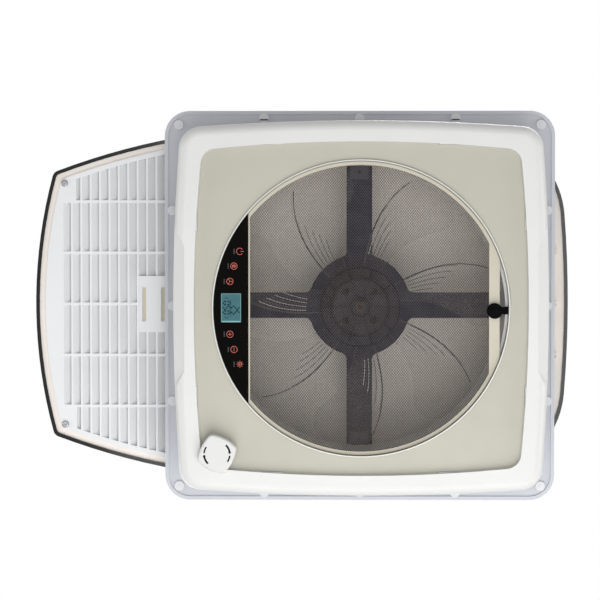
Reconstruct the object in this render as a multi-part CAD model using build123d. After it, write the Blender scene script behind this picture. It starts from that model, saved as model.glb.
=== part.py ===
from build123d import *
from math import asin, cos, hypot, radians, sin, sqrt, tan
import os

# Caravan roof vent with fan and lifting lid, as it sits in the roof. Millimetres, +Z to the sky.
# The origin is the centre of the roof flange's underside, with the lid's hinge at the +X end
# and the louvred overhang at the -X end.

# Shared clearances and allowances
overrun = 2.0
running_gap = 0.05
seat_gap = 0.3
roof_thickness = 50.0

# Roof base
flange_corner = 27.0
flange_thickness = 4.5
flange_lip = 3.8
sealant_depth = 1.6
spigot_side = 343.0
spigot_wall = 3.0
spigot_corner = 12.0
spigot_depth = 52.0
upstand_side = 356.0
upstand_wall = 3.0
upstand_corner = 50.0
upstand_height = 38.0
roof_boss_radius = 5.4
roof_hole_radius = 2.4
countersink_radius = 4.6
countersink_depth = 2.2
corner_screw_reach = 195.0
corner_screw_margin = 15.0
side_screw_reach = 202.0
side_screw_margin = 8.0
side_screw_step = 103.0
gusset_thickness = 3.0
gusset_reach = 16.0
gusset_height = 22.0
gusset_step = 118.0
cable_hole_radius = 6.0
cable_hole_y = -120.0
cable_hole_depth = 25.0

# Face plate and its round opening
plate_thickness = 3.0
plate_overlap = 3.0
plate_corner = 16.0
opening_radius = 154.8
opening_lip_width = 2.4
opening_lip_height = 0.8
lip_round_share = 0.9
clip_width = 20.0
clip_thickness = 2.5
clip_height = 16.0
plate_clip_place = 128.0
keeper_length = 11.0
keeper_width = 24.0
knob_boss_radius = 9.0
knob_boss_height = 2.0

# Ceiling trim
trim_side = 394.0
trim_opening_side = 349.4
trim_bow_radius = 2300.0
trim_corner = 24.0
opening_bow_radius = 1560.0
trim_opening_corner = 16.0
trim_depth = 12.0
trim_round = 10.5
trim_wall = 2.5
trim_clip_place = 92.0
grip_width = 12.5
grip_length_outer = 174.0
grip_length_inner = 131.0

# Screen frame, mesh and catch
frame_ring_width = 3.6
frame_side_gap = 0.6
frame_height = 6.4
chord_bar_width = 1.6
strip_place = 134.4
strip_width = 11.0
strip_thickness = 3.0
mesh_thickness = 0.6
mesh_pitch = 19.0
mesh_strand = 2.0
mesh_margin = 3.0
catch_knob_radius = 8.2
catch_knob_height = 6.0
catch_round_share = 0.2
catch_shaft_radius = 3.0
catch_y = 2.4
catch_tongue_width = 8.0
catch_tongue_thickness = 1.8
catch_tongue_reach = 21.0
catch_grip_width = 4.0
catch_grip_height = 3.0

# Touch panel, display, housing and board
fascia_chord = 118.2
fascia_thickness = 2.6
fascia_recess = 0.4
lcd_width = 21.1
lcd_length = 30.4
lcd_place = -136.05
lcd_y = -0.8
lcd_thickness = 4.6
housing_wall = 1.8
housing_flange = 5.0
housing_flange_thickness = 1.6
housing_depth = 16.0
board_thickness = 1.6
board_standoff_height = 3.0
board_standoff_radius = 2.5
board_standoff_y = 55.0
board_inset = 3.0
chip_side = 9.0
chip_height = 1.8
chip_step = 26.0

# Supply terminal
terminal_length = 24.0
terminal_width = 16.0
terminal_height = 12.0
terminal_corner_reach = 139.0
terminal_hole_radius = 2.0
terminal_pole_step = 10.0
grommet_bore = 3.2
grommet_collar = 2.0
grommet_collar_thickness = 1.5

# Fan shroud and deck
shroud_radius = 152.0
shroud_wall = 3.0
shroud_top = 20.0
bell_flare = 3.0
bell_height = 8.0
deck_thickness = 3.0
deck_side_gap = 0.3
lug_thickness = 5.0
lug_length = 15.0
lug_width = 20.0

# Motor bracket
bracket_hub_radius = 55.4
bracket_arm_width = 27.5
bracket_arm_gap = 0.4
bracket_floor = 2.5
bracket_depth = 8.0
bracket_wall = 2.5
bracket_shoulder = 7.0
hub_ring_radii = (45.0, 32.0)
hub_ring_width = 2.2
hub_rib_count = 16
hub_rib_width = 1.6
arm_rib_width = 2.0
hub_boss_radius = 12.0
hub_boss_drop = 2.0
motor_screw_circle = 21.5
screw_pocket_radius = 6.0
bracket_top = -18.0

# Screws of one size: shank, head and cross recess
screw_radius = 2.0
screw_head_radius = 3.8
screw_head_height = 2.2
screw_length = 9.0
cross_width = 1.0
cross_length = 4.4
cross_depth = 1.3

# Motor, shaft and impeller
motor_radius = 30.5
motor_height = 26.0
motor_edge = 3.0
motor_boss_radius = 9.0
motor_boss_height = 2.5
motor_port_radius = 4.5
motor_port_depth = 3.0
shaft_radius = 3.0
shaft_below = 2.0
shaft_above = 7.0
bush_radius = 4.4
bush_flange_radius = 5.3
bush_flange_thickness = 1.0
hub_cup_radius = 43.0
hub_cup_wall = 2.5
hub_cup_low = -12.0
hub_cup_top = 17.0
hub_cup_round = 5.0
hub_boss_outer = 10.0
nut_across_flats = 10.0
nut_sides = 6
nut_height = 4.0
blade_count = 7
blade_tip_radius = 148.4
blade_root_inset = 1.6
blade_section_shares = (-0.15, 0.25, 0.65, 1.1)
blade_reach_share = 1.4
blade_camber_share = 0.25
blade_thickness = 1.8
blade_low = -21.0
blade_high = 3.0
blade_tip_round = 20.0
blade_root_width_deg = 27.0
blade_tip_width_deg = 37.0
blade_sweep_deg = 17.0
blade_bow_deg = 5.0
first_blade_deg = 18.0

# Lid outline at its rim, as four arcs
lid_left = 356.0
lid_right = 230.0
lid_half_width = 196.0
lid_widest_place = -61.0
lid_left_arc = 540.0
lid_side_arc = 770.0
lid_flank_arc = 3500.0
lid_right_arc = 1250.0
lid_left_corner = 9.0
lid_right_corner = 100.0
corner_least_share = 0.33

# Lid levels and shells
lid_rim_level = 40.0
pan_gap = 4.0
pan_thickness = 3.0
rim_width = 4.0
shell_ledge = 1.4
shell_wall = 3.0
shell_taper = 22.0
crown_left = 100.0
crown_peak = 125.0
crown_right = 88.0
crown_peak_place = -90.0
hood_round = 26.0
hood_corner = 110.0
hood_corner_most_share = 0.565
cavity_corner = 24.0
liner_inset = 12.0
liner_wall = 2.4
liner_ceiling = 74.0
liner_round = 12.0
liner_corner = 60.0
liner_rib_height = 3.0
liner_rib_width = 2.4
liner_rib_step = 90.0
duct_window_half = 157.0
duct_window_corner = 30.0
pan_rib_height = 5.0
pan_rib_width = 1.6
pan_rib_half_gap = 2.4
pan_rib_step = 57.0
pan_rib_start = 183.5
pan_rib_end_inset = 8.0

# Lid seal
seal_width = 8.0
seal_lip_width = 3.0

# Louvred discharge grille
grille_inset = 10.5
grille_thickness = 2.5
grille_inner_end = -187.0
grille_field_start = -327.2
slat_start = -327.6
slat_root = 1.2
grille_field_inset = 15.8
grille_end_margin = 4.0
slat_pitch = 10.36
slat_thickness = 2.2
slat_height = 5.2
slat_lean_deg = 59.5
bar_pitch = 56.4
bar_width = 3.2
window_ledge = 3.4
grille_block_place = -226.0
grille_block_length = 32.0
grille_block_width = 62.0
grille_block_height = 2.5
grille_slot_length = 38.0
grille_slot_width = 4.3
grille_slot_step = 20.8
grille_screw_place = -324.0
grille_screw_y = 133.0
screw_corner_end = -311.0

# Hinge
hinge_place = 196.0
hinge_height = 30.0
hinge_half_span = 37.5
hinge_pin_radius = 3.0
hinge_pin_head_radius = 5.0
hinge_pin_head = 2.0
hinge_ear_radius = 7.0
hinge_ear_thickness = 5.0
hinge_lug_width = 20.0
hinge_side_gap = 0.4
hinge_foot_length = 24.0
hinge_foot_width = 52.0
hinge_foot_thickness = 3.0
hinge_screw_inset = 5.3

# Lift arms, their pivots and tracks
lid_travel_deg = 20.0
arm_length = 145.0
arm_thickness = 4.0
arm_pivot_width = 20.0
arm_tip_width = 13.0
arm_inner_face = 165.2
arm_slot_share = 0.5
arm_slot_width = 6.0
arm_shaft_radius = 4.0
arm_pin_radius = 2.5
roller_radius = 5.0
roller_gap = 0.3
roller_side_gap = 0.3
track_inner_face = 158.2
track_thickness = 5.0
track_margin = 9.0
track_wall = 5.0
lift_box_inner_face = 154.8
lift_box_width = 34.0
lift_box_top_margin = 8.0
lift_box_round = 6.0
lift_box_gap = 0.4
lift_lip = 5.0
lift_lip_thickness = 2.5
lift_box_clearance = 0.7
pivot_post_width = 26.0

# Knob, corner gearbox and drive rod
knob_x = -150.0
knob_y = 150.6
knob_side = 36.0
knob_bow_radius = 42.0
knob_corner = 6.0
knob_turn_deg = 27.0
knob_thickness = 10.0
knob_edge_round = 2.0
knob_trim_gap = 1.5
knob_stem_radius = 8.0
knob_shaft_radius = 4.0
knob_shaft_insert = 12.0
corner_box_side = 25.0
corner_box_round = 6.0
corner_box_height = 40.0
corner_box_foot = 3.0
corner_box_foot_thickness = 3.0
rod_radius = 2.5
rod_y = 160.0
rod_level = -20.0
rod_insert = 6.0

# Levels and outer sizes worked out from the sizes above
flange_side = 2 * max(corner_screw_reach + corner_screw_margin, side_screw_reach + side_screw_margin)
plate_back = -spigot_depth
plate_front = plate_back - plate_thickness
trim_back = -roof_thickness
trim_front = trim_back - trim_depth
pan_low = upstand_height + pan_gap
pan_high = pan_low + pan_thickness
frame_low = plate_back + seat_gap
frame_high = frame_low + frame_height
shroud_low = frame_high + seat_gap
strip_high = frame_low + strip_thickness
mesh_low = frame_low + (strip_thickness - mesh_thickness) / 2
bracket_low = bracket_top - bracket_depth
deck_low = flange_thickness
deck_high = deck_low + deck_thickness
spigot_inner = spigot_side / 2 - spigot_wall
upstand_inner = upstand_side / 2 - upstand_wall
frame_outer_radius = opening_radius - frame_side_gap
frame_inner_radius = frame_outer_radius - frame_ring_width
grille_low = pan_low - grille_thickness
arm_outer_face = arm_inner_face + arm_thickness
arm_pivot_place = hinge_place - arm_length
arm_tip_place = arm_pivot_place - arm_length
arm_tip_travel = 2 * arm_length * (1 - cos(radians(lid_travel_deg)))
catch_place = strip_place + strip_width / 2
shaft_low = bracket_low - hub_boss_drop - shaft_below
motor_top = bracket_top + motor_height
turned_level = shroud_top + bracket_low


# Helpers


def plate(sketch, low, high):
    """A sketch on the XY plane, extruded between two levels."""
    return Pos(0, 0, low) * extrude(sketch, high - low)


def block(x_low, x_high, y_low, y_high, z_low, z_high):
    """A box between its lowest and highest corners."""
    size = (x_high - x_low, y_high - y_low, z_high - z_low)
    centre = ((x_low + x_high) / 2, (y_low + y_high) / 2, (z_low + z_high) / 2)
    return Pos(*centre) * Box(*size)


def rounded_square(half, corner):
    """A square with rounded corners."""
    return RectangleRounded(2 * half, 2 * half, corner)


def bowed_square(half, bow_radius, corner):
    """A square whose sides bow outwards on large arcs, with rounded corners."""
    centre_shift = bow_radius - half
    reach = (sqrt(2 * bow_radius**2 - centre_shift**2) - centre_shift) / 2
    sides = []
    for turn in range(4):
        start = Vector(reach, -reach).rotate(Axis.Z, 90 * turn)
        middle = Vector(half, 0).rotate(Axis.Z, 90 * turn)
        end = Vector(reach, reach).rotate(Axis.Z, 90 * turn)
        sides.append(ThreePointArc(start, middle, end))
    square = make_face(sides)
    return fillet(square.vertices(), corner)


def circle_part(radius, x_low, x_high):
    """The part of a circle between two straight lines along Y."""
    strip = Pos((x_low + x_high) / 2, 0) * Rectangle(x_high - x_low, 2 * (radius + overrun))
    return Circle(radius) & strip


def rod_along_y(x, z, radius, y_low, y_high):
    """A round bar along Y."""
    return Pos(x, (y_low + y_high) / 2, z) * Rot(90, 0, 0) * Cylinder(radius, y_high - y_low)


def rod_along_x(y, z, radius, x_low, x_high):
    """A round bar along X."""
    return Pos((x_low + x_high) / 2, y, z) * Rot(0, 90, 0) * Cylinder(radius, x_high - x_low)


def rod_along_z(x, y, radius, z_low, z_high):
    """A round bar along Z."""
    return Pos(x, y, (z_low + z_high) / 2) * Cylinder(radius, z_high - z_low)


def side_profile(sketch_xz, y_low, y_high):
    """A sketch drawn with X across and Z up, extruded between two places along Y."""
    return Plane((0, y_high, 0), x_dir=(1, 0, 0), z_dir=(0, -1, 0)) * extrude(sketch_xz, y_high - y_low)


def mirrored_pair(shape):
    """A piece and its copy on the other side of the XZ plane."""
    return [shape, mirror(shape, about=Plane.XZ)]


def four_turns(shape):
    """A piece and its copies at each quarter turn about Z."""
    return [Rot(0, 0, 90 * turn) * shape for turn in range(4)]


def turned_over(shape):
    """A piece of the fan's drive, drawn with its bracket lowest, turned so the bracket tops the shroud."""
    return Pos(0, 0, turned_level) * Rot(180, 0, 0) * shape


def cross_screw(length):
    """A pan-head cross-recess screw, head down, its seat at the origin and its shank upwards."""
    head = Pos(0, 0, -screw_head_height / 2) * Cylinder(screw_head_radius, screw_head_height)
    low_edge = head.edges().sort_by(Axis.Z)[0]
    head = fillet(low_edge, screw_head_height / 2)
    slot = Box(cross_length, cross_width, 2 * cross_depth)
    recess = Pos(0, 0, -screw_head_height) * (slot + Rot(0, 0, 90) * slot)
    return head + rod_along_z(0, 0, screw_radius, 0, length) - recess


# Roof base: flange and upstand for the lid, with a square sleeve down through the roof


def roof_screw_places():
    """All screw places of the flange: the corners and three along each side."""
    places = []
    for turn in range(4):
        spots = [(corner_screw_reach, corner_screw_reach)]
        spots += [(side_screw_reach, step * side_screw_step) for step in (-1, 0, 1)]
        for x, y in spots:
            spot = Vector(x, y).rotate(Axis.Z, 90 * turn)
            places.append((spot.X, spot.Y))
    return places


def roof_base():
    half = flange_side / 2
    flange = plate(rounded_square(half, flange_corner), 0, flange_thickness)
    channel = rounded_square(half - flange_lip, flange_corner - flange_lip)
    channel -= rounded_square(spigot_side / 2, spigot_corner)
    body = flange - plate(channel, 0, sealant_depth)
    upstand = rounded_square(upstand_side / 2, upstand_corner)
    body += plate(upstand, 0, upstand_height)
    inner_corner = upstand_corner - upstand_wall
    body -= plate(rounded_square(spigot_inner, inner_corner), 0, flange_thickness)
    body -= plate(rounded_square(upstand_inner, inner_corner), flange_thickness, upstand_height)
    for x, y in roof_screw_places():
        body += rod_along_z(x, y, roof_boss_radius, 0, flange_thickness)
    for x, y in roof_screw_places():
        sink_low = flange_thickness - countersink_depth
        body -= rod_along_z(x, y, roof_hole_radius, -overrun, flange_thickness + overrun)
        sink = Cone(roof_hole_radius, countersink_radius, countersink_depth)
        body -= Pos(x, y, sink_low + countersink_depth / 2) * sink
    wall_face = upstand_side / 2
    outline = Polyline(
        (wall_face - upstand_wall / 2, flange_thickness - sealant_depth),
        (wall_face + gusset_reach, flange_thickness - sealant_depth),
        (wall_face + gusset_reach, flange_thickness),
        (wall_face, flange_thickness + gusset_height),
        (wall_face - upstand_wall / 2, flange_thickness + gusset_height),
        close=True,
    )
    gusset = side_profile(make_face(outline), -gusset_thickness / 2, gusset_thickness / 2)
    for place in (-gusset_step, 0, gusset_step):
        for piece in four_turns(Pos(0, place, 0) * gusset):
            body += piece
    for y in hinge_screw_places():
        body -= rod_along_z(hinge_place, y, screw_radius, 0, flange_thickness + overrun)
    return body


def spigot_sleeve():
    """The square sleeve that lines the roof's cut-out, joined under the flange."""
    outer = rounded_square(spigot_side / 2, spigot_corner)
    inner = rounded_square(spigot_inner, spigot_corner - spigot_wall)
    body = plate(outer - inner, -spigot_depth, 0)
    return body - rod_along_x(cable_hole_y, -cable_hole_depth, cable_hole_radius, -spigot_side / 2 - overrun,
                              -spigot_inner + overrun)


# Face plate


def plate_clip():
    """A springy clip at the +X side that grips the inside of the spigot."""
    low = plate_back - plate_thickness / 2
    face = spigot_inner
    tab = block(face - clip_thickness, face, -clip_width / 2, clip_width / 2, low, plate_back + clip_height)
    return tab


def face_plate():
    trim_half = trim_opening_side / 2
    outline = bowed_square(trim_half + plate_overlap, opening_bow_radius, plate_corner)
    body = plate(outline, plate_front, plate_back)
    lip = Circle(opening_radius + opening_lip_width)
    body += plate(lip, plate_front - opening_lip_height, plate_front)
    lip_edge = body.edges().filter_by(GeomType.CIRCLE).group_by(Axis.Z)[0]
    body = fillet(lip_edge, opening_lip_height * lip_round_share)
    body -= plate(Circle(opening_radius), plate_front - overrun, plate_back + overrun)
    for place in (-plate_clip_place, plate_clip_place):
        for piece in four_turns(Pos(0, place, 0) * plate_clip()):
            body += piece
    slot = trim_clip_slot()
    for place in (-trim_clip_place, trim_clip_place):
        for piece in four_turns(Pos(0, place, 0) * slot):
            body -= piece
    keeper_end = opening_radius + keeper_length
    keeper = block(opening_radius - overrun, keeper_end, catch_y - keeper_width / 2,
                   catch_y + keeper_width / 2, plate_back, strip_high)
    body += keeper - rod_along_z(0, 0, opening_radius, plate_front, strip_high + overrun)
    boss_high = plate_front
    body += rod_along_z(knob_x, knob_y, knob_boss_radius, boss_high - knob_boss_height, boss_high)
    shaft_hole = knob_shaft_radius + running_gap
    return body - rod_along_z(knob_x, knob_y, shaft_hole, trim_front, plate_back + overrun)


# Ceiling trim


def trim_clip_shape(grow):
    """A springy clip at the +X side that grips the outside of the spigot, grown for its slot."""
    face = spigot_side / 2
    width = clip_width / 2 + grow
    return block(face - grow, face + clip_thickness + grow, -width, width,
                 plate_front - opening_lip_height, trim_back + clip_height)


def trim_clip_slot():
    return trim_clip_shape(seat_gap)


def grip_wedge(shift):
    """The wedge that cuts a finger-grip facet at the +X side, moved inwards by a wall."""
    half = trim_side / 2
    inner = half - grip_width
    section = Polyline(
        (inner - shift, trim_front - overrun),
        (inner - shift, trim_front + shift),
        (half + overrun - shift, trim_back + shift + overrun),
        (half + grip_width, trim_back + overrun),
        (half + grip_width, trim_front - overrun),
        close=True,
    )
    wedge = side_profile(make_face(section), -grip_length_outer, grip_length_outer)
    plan = Polyline(
        (inner - shift, -grip_length_inner / 2 - shift),
        (half, -grip_length_outer / 2 - shift),
        (half + grip_width, -grip_length_outer / 2 - shift),
        (half + grip_width, grip_length_outer / 2 + shift),
        (half, grip_length_outer / 2 + shift),
        (inner - shift, grip_length_inner / 2 + shift),
        close=True,
    )
    return wedge & plate(make_face(plan), trim_front - overrun, trim_back)


def trim_body(half, low, corner, edge_round):
    """A bowed square slab with its lower edge rounded over."""
    slab = plate(bowed_square(half, trim_bow_radius, corner), low, trim_back)
    low_edges = slab.edges().group_by(Axis.Z)[0]
    return fillet(low_edges, edge_round)


def ceiling_trim():
    half = trim_side / 2
    inner_front = trim_front + trim_wall
    hollow = trim_body(half - trim_wall, inner_front, trim_corner - trim_wall, trim_round - trim_wall)
    body = trim_body(half, trim_front, trim_corner, trim_round)
    for turn in (0, 180):
        hollow -= Rot(0, 0, turn) * grip_wedge(trim_wall)
        body -= Rot(0, 0, turn) * grip_wedge(0)
    opening_half = trim_opening_side / 2
    wall = bowed_square(opening_half + trim_wall, opening_bow_radius, trim_opening_corner + trim_wall)
    hollow -= plate(wall, trim_front, trim_back)
    body -= hollow
    opening = bowed_square(opening_half, opening_bow_radius, trim_opening_corner)
    body -= plate(opening, trim_front - overrun, trim_back)
    pocket_half = opening_half + plate_overlap + seat_gap
    plate_pocket = bowed_square(pocket_half, opening_bow_radius, plate_corner + seat_gap)
    body -= plate(plate_pocket, plate_front, trim_back)
    for place in (-trim_clip_place, trim_clip_place):
        clip = Pos(0, place, 0) * trim_clip_shape(0)
        for piece in four_turns(clip):
            body += piece
    return body


# Fly screen with its frame and catch


def screen_limits():
    """The places along X of the chord bar and the right-hand strip."""
    bar_start = -fascia_chord + seat_gap
    bar_end = bar_start + chord_bar_width
    return bar_start, bar_end, strip_place, strip_place + strip_width


def screen_frame():
    bar_start, bar_end, strip_start, strip_end = screen_limits()
    sketch = circle_part(frame_outer_radius, bar_start, strip_end)
    sketch -= circle_part(frame_inner_radius, bar_end, strip_start)
    body = plate(sketch, frame_low, frame_high)
    above_strip = circle_part(frame_inner_radius, strip_start, strip_end + overrun)
    body -= plate(above_strip, strip_high, frame_high + overrun)
    return body - rod_along_z(catch_place, catch_y, catch_shaft_radius + running_gap, frame_low - overrun,
                              strip_high + overrun)


def mesh_hole(x, y, half):
    """A diamond-shaped hole's outline."""
    corners = [(x + half, y), (x, y + half), (x - half, y), (x, y - half)]
    return Wire(Polyline(*corners, close=True).edges())


def insect_screen():
    bar_start, bar_end, strip_start, strip_end = screen_limits()
    outline = circle_part(frame_inner_radius, bar_end, strip_start)
    half_pitch = mesh_pitch / 2
    half = half_pitch - mesh_strand * sqrt(2) / 2
    reach = frame_inner_radius - mesh_margin - half
    count = int(frame_inner_radius / half_pitch)
    holes = []
    for row in range(-count, count + 1):
        for column in range(-count, count + 1):
            x = column * half_pitch
            y = row * half_pitch
            inside = bar_end + mesh_margin < x - half and x + half < strip_start - mesh_margin
            if (row + column) % 2 == 0 and inside and hypot(x, y) < reach:
                holes.append(mesh_hole(x, y, half))
    outer = outline.faces()[0].outer_wire()
    return plate(Sketch() + Face(outer, holes), mesh_low, mesh_low + mesh_thickness)


def screen_catch():
    low = frame_low - catch_knob_height
    knob = rod_along_z(0, 0, catch_knob_radius, low, frame_low)
    knob = fillet(knob.edges().group_by(Axis.Z)[0], catch_knob_height * catch_round_share)
    grip = block(-catch_knob_radius, catch_knob_radius, -catch_grip_width / 2, catch_grip_width / 2,
                 low - catch_grip_height, low + catch_grip_height)
    grip &= rod_along_z(0, 0, catch_knob_radius - catch_grip_height / 2, low - catch_grip_height, frame_low)
    tongue_low = strip_high + seat_gap
    tongue_high = tongue_low + catch_tongue_thickness
    tongue = SlotCenterToCenter(2 * catch_tongue_reach, catch_tongue_width)
    tongue &= Pos(catch_tongue_reach, 0) * Rectangle(2 * catch_tongue_reach + catch_tongue_width,
                                                     catch_tongue_width + overrun)
    tongue += Circle(catch_tongue_width / 2)
    body = knob + grip + rod_along_z(0, 0, catch_shaft_radius, frame_low - overrun, tongue_high)
    body += plate(tongue, tongue_low, tongue_high)
    return Pos(catch_place, catch_y, 0) * body


# Touch panel, display, housing, board and supply


def lcd_hole(grow):
    return Pos(lcd_place, lcd_y) * Rectangle(lcd_width + 2 * grow, lcd_length + 2 * grow)


def fascia_low():
    return plate_front + fascia_recess


def control_fascia():
    sketch = circle_part(frame_outer_radius, -opening_radius - overrun, -fascia_chord)
    body = plate(sketch - lcd_hole(0), fascia_low(), fascia_low() + fascia_thickness)
    return body


def lcd_display():
    low = fascia_low() + fascia_recess / 2
    glass = plate(lcd_hole(0), low, low + lcd_thickness)
    return glass


def control_housing():
    low = fascia_low() + fascia_thickness
    chord = -fascia_chord - seat_gap
    outer_radius = shroud_radius - seat_gap
    far = -opening_radius - 2 * housing_flange
    flange = circle_part(opening_radius + housing_flange, far, chord)
    flange_high = plate_back + housing_flange_thickness
    body = plate(flange, plate_back, flange_high)
    body += plate(circle_part(frame_outer_radius, far, chord), low, flange_high)
    body += plate(circle_part(outer_radius, far, chord), low, low + housing_depth)
    inner = circle_part(outer_radius - housing_wall, far, chord - housing_wall)
    body -= plate(inner, low + housing_wall, low + housing_depth - housing_wall)
    body -= plate(lcd_hole(0), low - overrun, low + housing_wall + overrun)
    for side in (-1, 1):
        post_top = low + housing_depth
        post_low = board_level() + board_thickness
        body += rod_along_z(lcd_place, side * board_standoff_y, board_standoff_radius, post_low, post_top)
    return body


def board_level():
    top = fascia_low() + fascia_thickness + housing_depth - housing_wall
    return top - board_standoff_height - board_thickness


def control_board():
    low = board_level()
    radius = shroud_radius - seat_gap - housing_wall - board_inset
    chord = -fascia_chord - seat_gap - housing_wall - board_inset / 2
    body = plate(circle_part(radius, -shroud_radius, chord), low, low + board_thickness)
    for step in (-2, -1, 1, 2):
        x = lcd_place + chip_side / 2
        y = lcd_y + step * chip_step
        body += block(x - chip_side / 2, x + chip_side / 2, y - chip_side / 2, y + chip_side / 2,
                      low - chip_height, low)
    return body


def power_terminal():
    high = deck_low
    low = high - terminal_height
    reach = terminal_corner_reach
    body = block(-reach - terminal_length / 2, -reach + terminal_length / 2, -reach - terminal_width / 2,
                 -reach + terminal_width / 2, low, high)
    for side in (-1, 1):
        x = -reach + side * terminal_pole_step / 2
        body -= rod_along_y(x, low + terminal_height / 2, terminal_hole_radius, -reach - terminal_width,
                            -reach)
        body -= rod_along_z(x, -reach + terminal_hole_radius, terminal_hole_radius, low - overrun,
                            low + terminal_height / 2)
    return body


def cable_grommet():
    outer = -spigot_side / 2
    inner = -spigot_inner
    collar = cable_hole_radius + grommet_collar
    level = -cable_hole_depth
    body = rod_along_x(cable_hole_y, level, cable_hole_radius, outer - grommet_collar_thickness,
                       inner + grommet_collar_thickness)
    body += rod_along_x(cable_hole_y, level, collar, outer - grommet_collar_thickness, outer)
    body += rod_along_x(cable_hole_y, level, collar, inner, inner + grommet_collar_thickness)
    return body - rod_along_x(cable_hole_y, level, grommet_bore, outer - collar, inner + collar)


# Fan shroud with its deck


def lift_post_span():
    """The faces along Y of the lift gearbox and the pivot bracket."""
    return lift_box_inner_face, arm_inner_face - lift_box_clearance


def fan_shroud():
    outer = shroud_radius + shroud_wall
    section = Polyline(
        (shroud_radius, shroud_low),
        (outer, shroud_low),
        (outer, shroud_top - bell_height),
        (outer + bell_flare, shroud_top),
        (shroud_radius + bell_flare, shroud_top),
        (shroud_radius, shroud_top - bell_height),
        close=True,
    )
    ring = revolve(Plane.XZ * make_face(section), Axis.Z)
    deck = rounded_square(upstand_inner - deck_side_gap, upstand_corner - upstand_wall) - Circle(outer)
    body = ring + plate(deck, deck_low, deck_high)
    lug_low = bracket_top
    lug = block(shroud_radius - lug_length, shroud_radius + shroud_wall / 2, -lug_width / 2, lug_width / 2,
                lug_low, lug_low + lug_thickness)
    for piece in four_turns(turned_over(lug)):
        body += piece
    screw_hole = rod_along_z(bracket_screw_reach(), 0, screw_radius, lug_low - overrun,
                             lug_low + lug_thickness + overrun)
    for piece in four_turns(turned_over(screw_hole)):
        body -= piece
    near, far = lift_post_span()
    half = lift_box_width / 2 + lift_box_gap
    notch = block(arm_pivot_place - half, arm_pivot_place + half, near - lift_box_gap, far + lift_box_gap,
                  deck_low - overrun, deck_high + overrun)
    for piece in mirrored_pair(notch):
        body -= piece - rod_along_z(0, 0, outer, deck_low - 2 * overrun, deck_high + 2 * overrun)
    return body


# Motor bracket and its screws


def bracket_screw_reach():
    return shroud_radius - lug_length / 2


def bracket_plan():
    """Hub disc with four arms and small rounded shoulders where they join."""
    length = 2 * (shroud_radius - bracket_arm_gap)
    arm = Rectangle(length, bracket_arm_width) & Circle(shroud_radius - bracket_arm_gap)
    plan = Circle(bracket_hub_radius) + arm + Rot(0, 0, 90) * arm
    inner = [v for v in plan.vertices() if hypot(v.X, v.Y) < bracket_hub_radius + bracket_wall]
    return fillet(inner, bracket_shoulder)


def motor_bracket():
    plan = bracket_plan()
    floor_low = bracket_top - bracket_floor
    body = plate(plan, floor_low, bracket_top)
    body += plate(plan - offset(plan, amount=-bracket_wall), bracket_low, bracket_top)
    for radius in hub_ring_radii:
        ring = Circle(radius + hub_ring_width / 2) - Circle(radius - hub_ring_width / 2)
        body += plate(ring, bracket_low, bracket_top)
    rib_level = bracket_low + hub_boss_drop / 2
    rib = block(hub_boss_radius / 2, bracket_hub_radius - bracket_wall / 2, -hub_rib_width / 2,
                hub_rib_width / 2, rib_level, bracket_top)
    for turn in range(hub_rib_count):
        body += Rot(0, 0, (turn + 1 / 2) * 360 / hub_rib_count) * rib
    arm_rib = block(bracket_hub_radius - bracket_wall, bracket_screw_reach() - screw_pocket_radius,
                    -arm_rib_width / 2, arm_rib_width / 2, rib_level, bracket_top)
    for piece in four_turns(arm_rib):
        body += piece
    boss_low = bracket_low - hub_boss_drop
    body += rod_along_z(0, 0, hub_boss_radius, boss_low, bracket_top)
    pocket = rod_along_z(motor_screw_circle, 0, screw_pocket_radius, boss_low, bracket_top)
    hole = rod_along_z(motor_screw_circle, 0, screw_radius, boss_low, bracket_top + overrun)
    well_radius = screw_pocket_radius - bracket_wall / 2
    well = rod_along_z(motor_screw_circle, 0, well_radius, boss_low - overrun, floor_low)
    end_hole = rod_along_z(bracket_screw_reach(), 0, screw_radius, bracket_low, bracket_top + overrun)
    outer_pocket = pocket - rod_along_z(0, 0, hub_boss_radius, boss_low, bracket_low)
    for turn in range(4):
        body += Rot(0, 0, 45 + 90 * turn) * outer_pocket
        body -= Rot(0, 0, 45 + 90 * turn) * (hole + well)
        body -= Rot(0, 0, 90 * turn) * end_hole
    body -= rod_along_z(0, 0, bush_radius, boss_low - overrun, bracket_top + overrun)
    return turned_over(body)


def motor_screws():
    screw = cross_screw(screw_length - bracket_floor)
    seat = bracket_top - bracket_floor
    first = turned_over(Rot(0, 0, 45) * Pos(motor_screw_circle, 0, seat) * screw)
    return four_turns(first)


def bracket_screws():
    screw = cross_screw(bracket_floor + lug_thickness)
    seat = bracket_top - bracket_floor
    return four_turns(turned_over(Pos(bracket_screw_reach(), 0, seat) * screw))


def motor_bush():
    low = bracket_low - hub_boss_drop
    body = rod_along_z(0, 0, bush_radius, low, bracket_top)
    body += rod_along_z(0, 0, bush_flange_radius, low - bush_flange_thickness, low)
    body -= rod_along_z(0, 0, shaft_radius + running_gap, low - overrun, bracket_top + overrun)
    return turned_over(body)


def motor_can():
    can = rod_along_z(0, 0, motor_radius, bracket_top, motor_top)
    can = fillet(can.edges().group_by(Axis.Z)[-1], motor_edge)
    can += rod_along_z(0, 0, motor_boss_radius, motor_top - overrun, motor_top + motor_boss_height)
    screw_end = bracket_top - 2 * bracket_floor + screw_length
    screw_hole = rod_along_z(motor_screw_circle, 0, screw_radius, bracket_top - overrun, screw_end)
    port_low = motor_top - motor_port_depth
    port = rod_along_z(motor_screw_circle, 0, motor_port_radius, port_low, motor_top + overrun)
    for turn in range(4):
        can -= Rot(0, 0, 45 + 90 * turn) * (screw_hole + port)
    bore_top = motor_top + 2 * motor_boss_height
    can -= rod_along_z(0, 0, shaft_radius + seat_gap, bracket_top - overrun, bore_top)
    return turned_over(can)


# Impeller, shaft and nut


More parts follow.
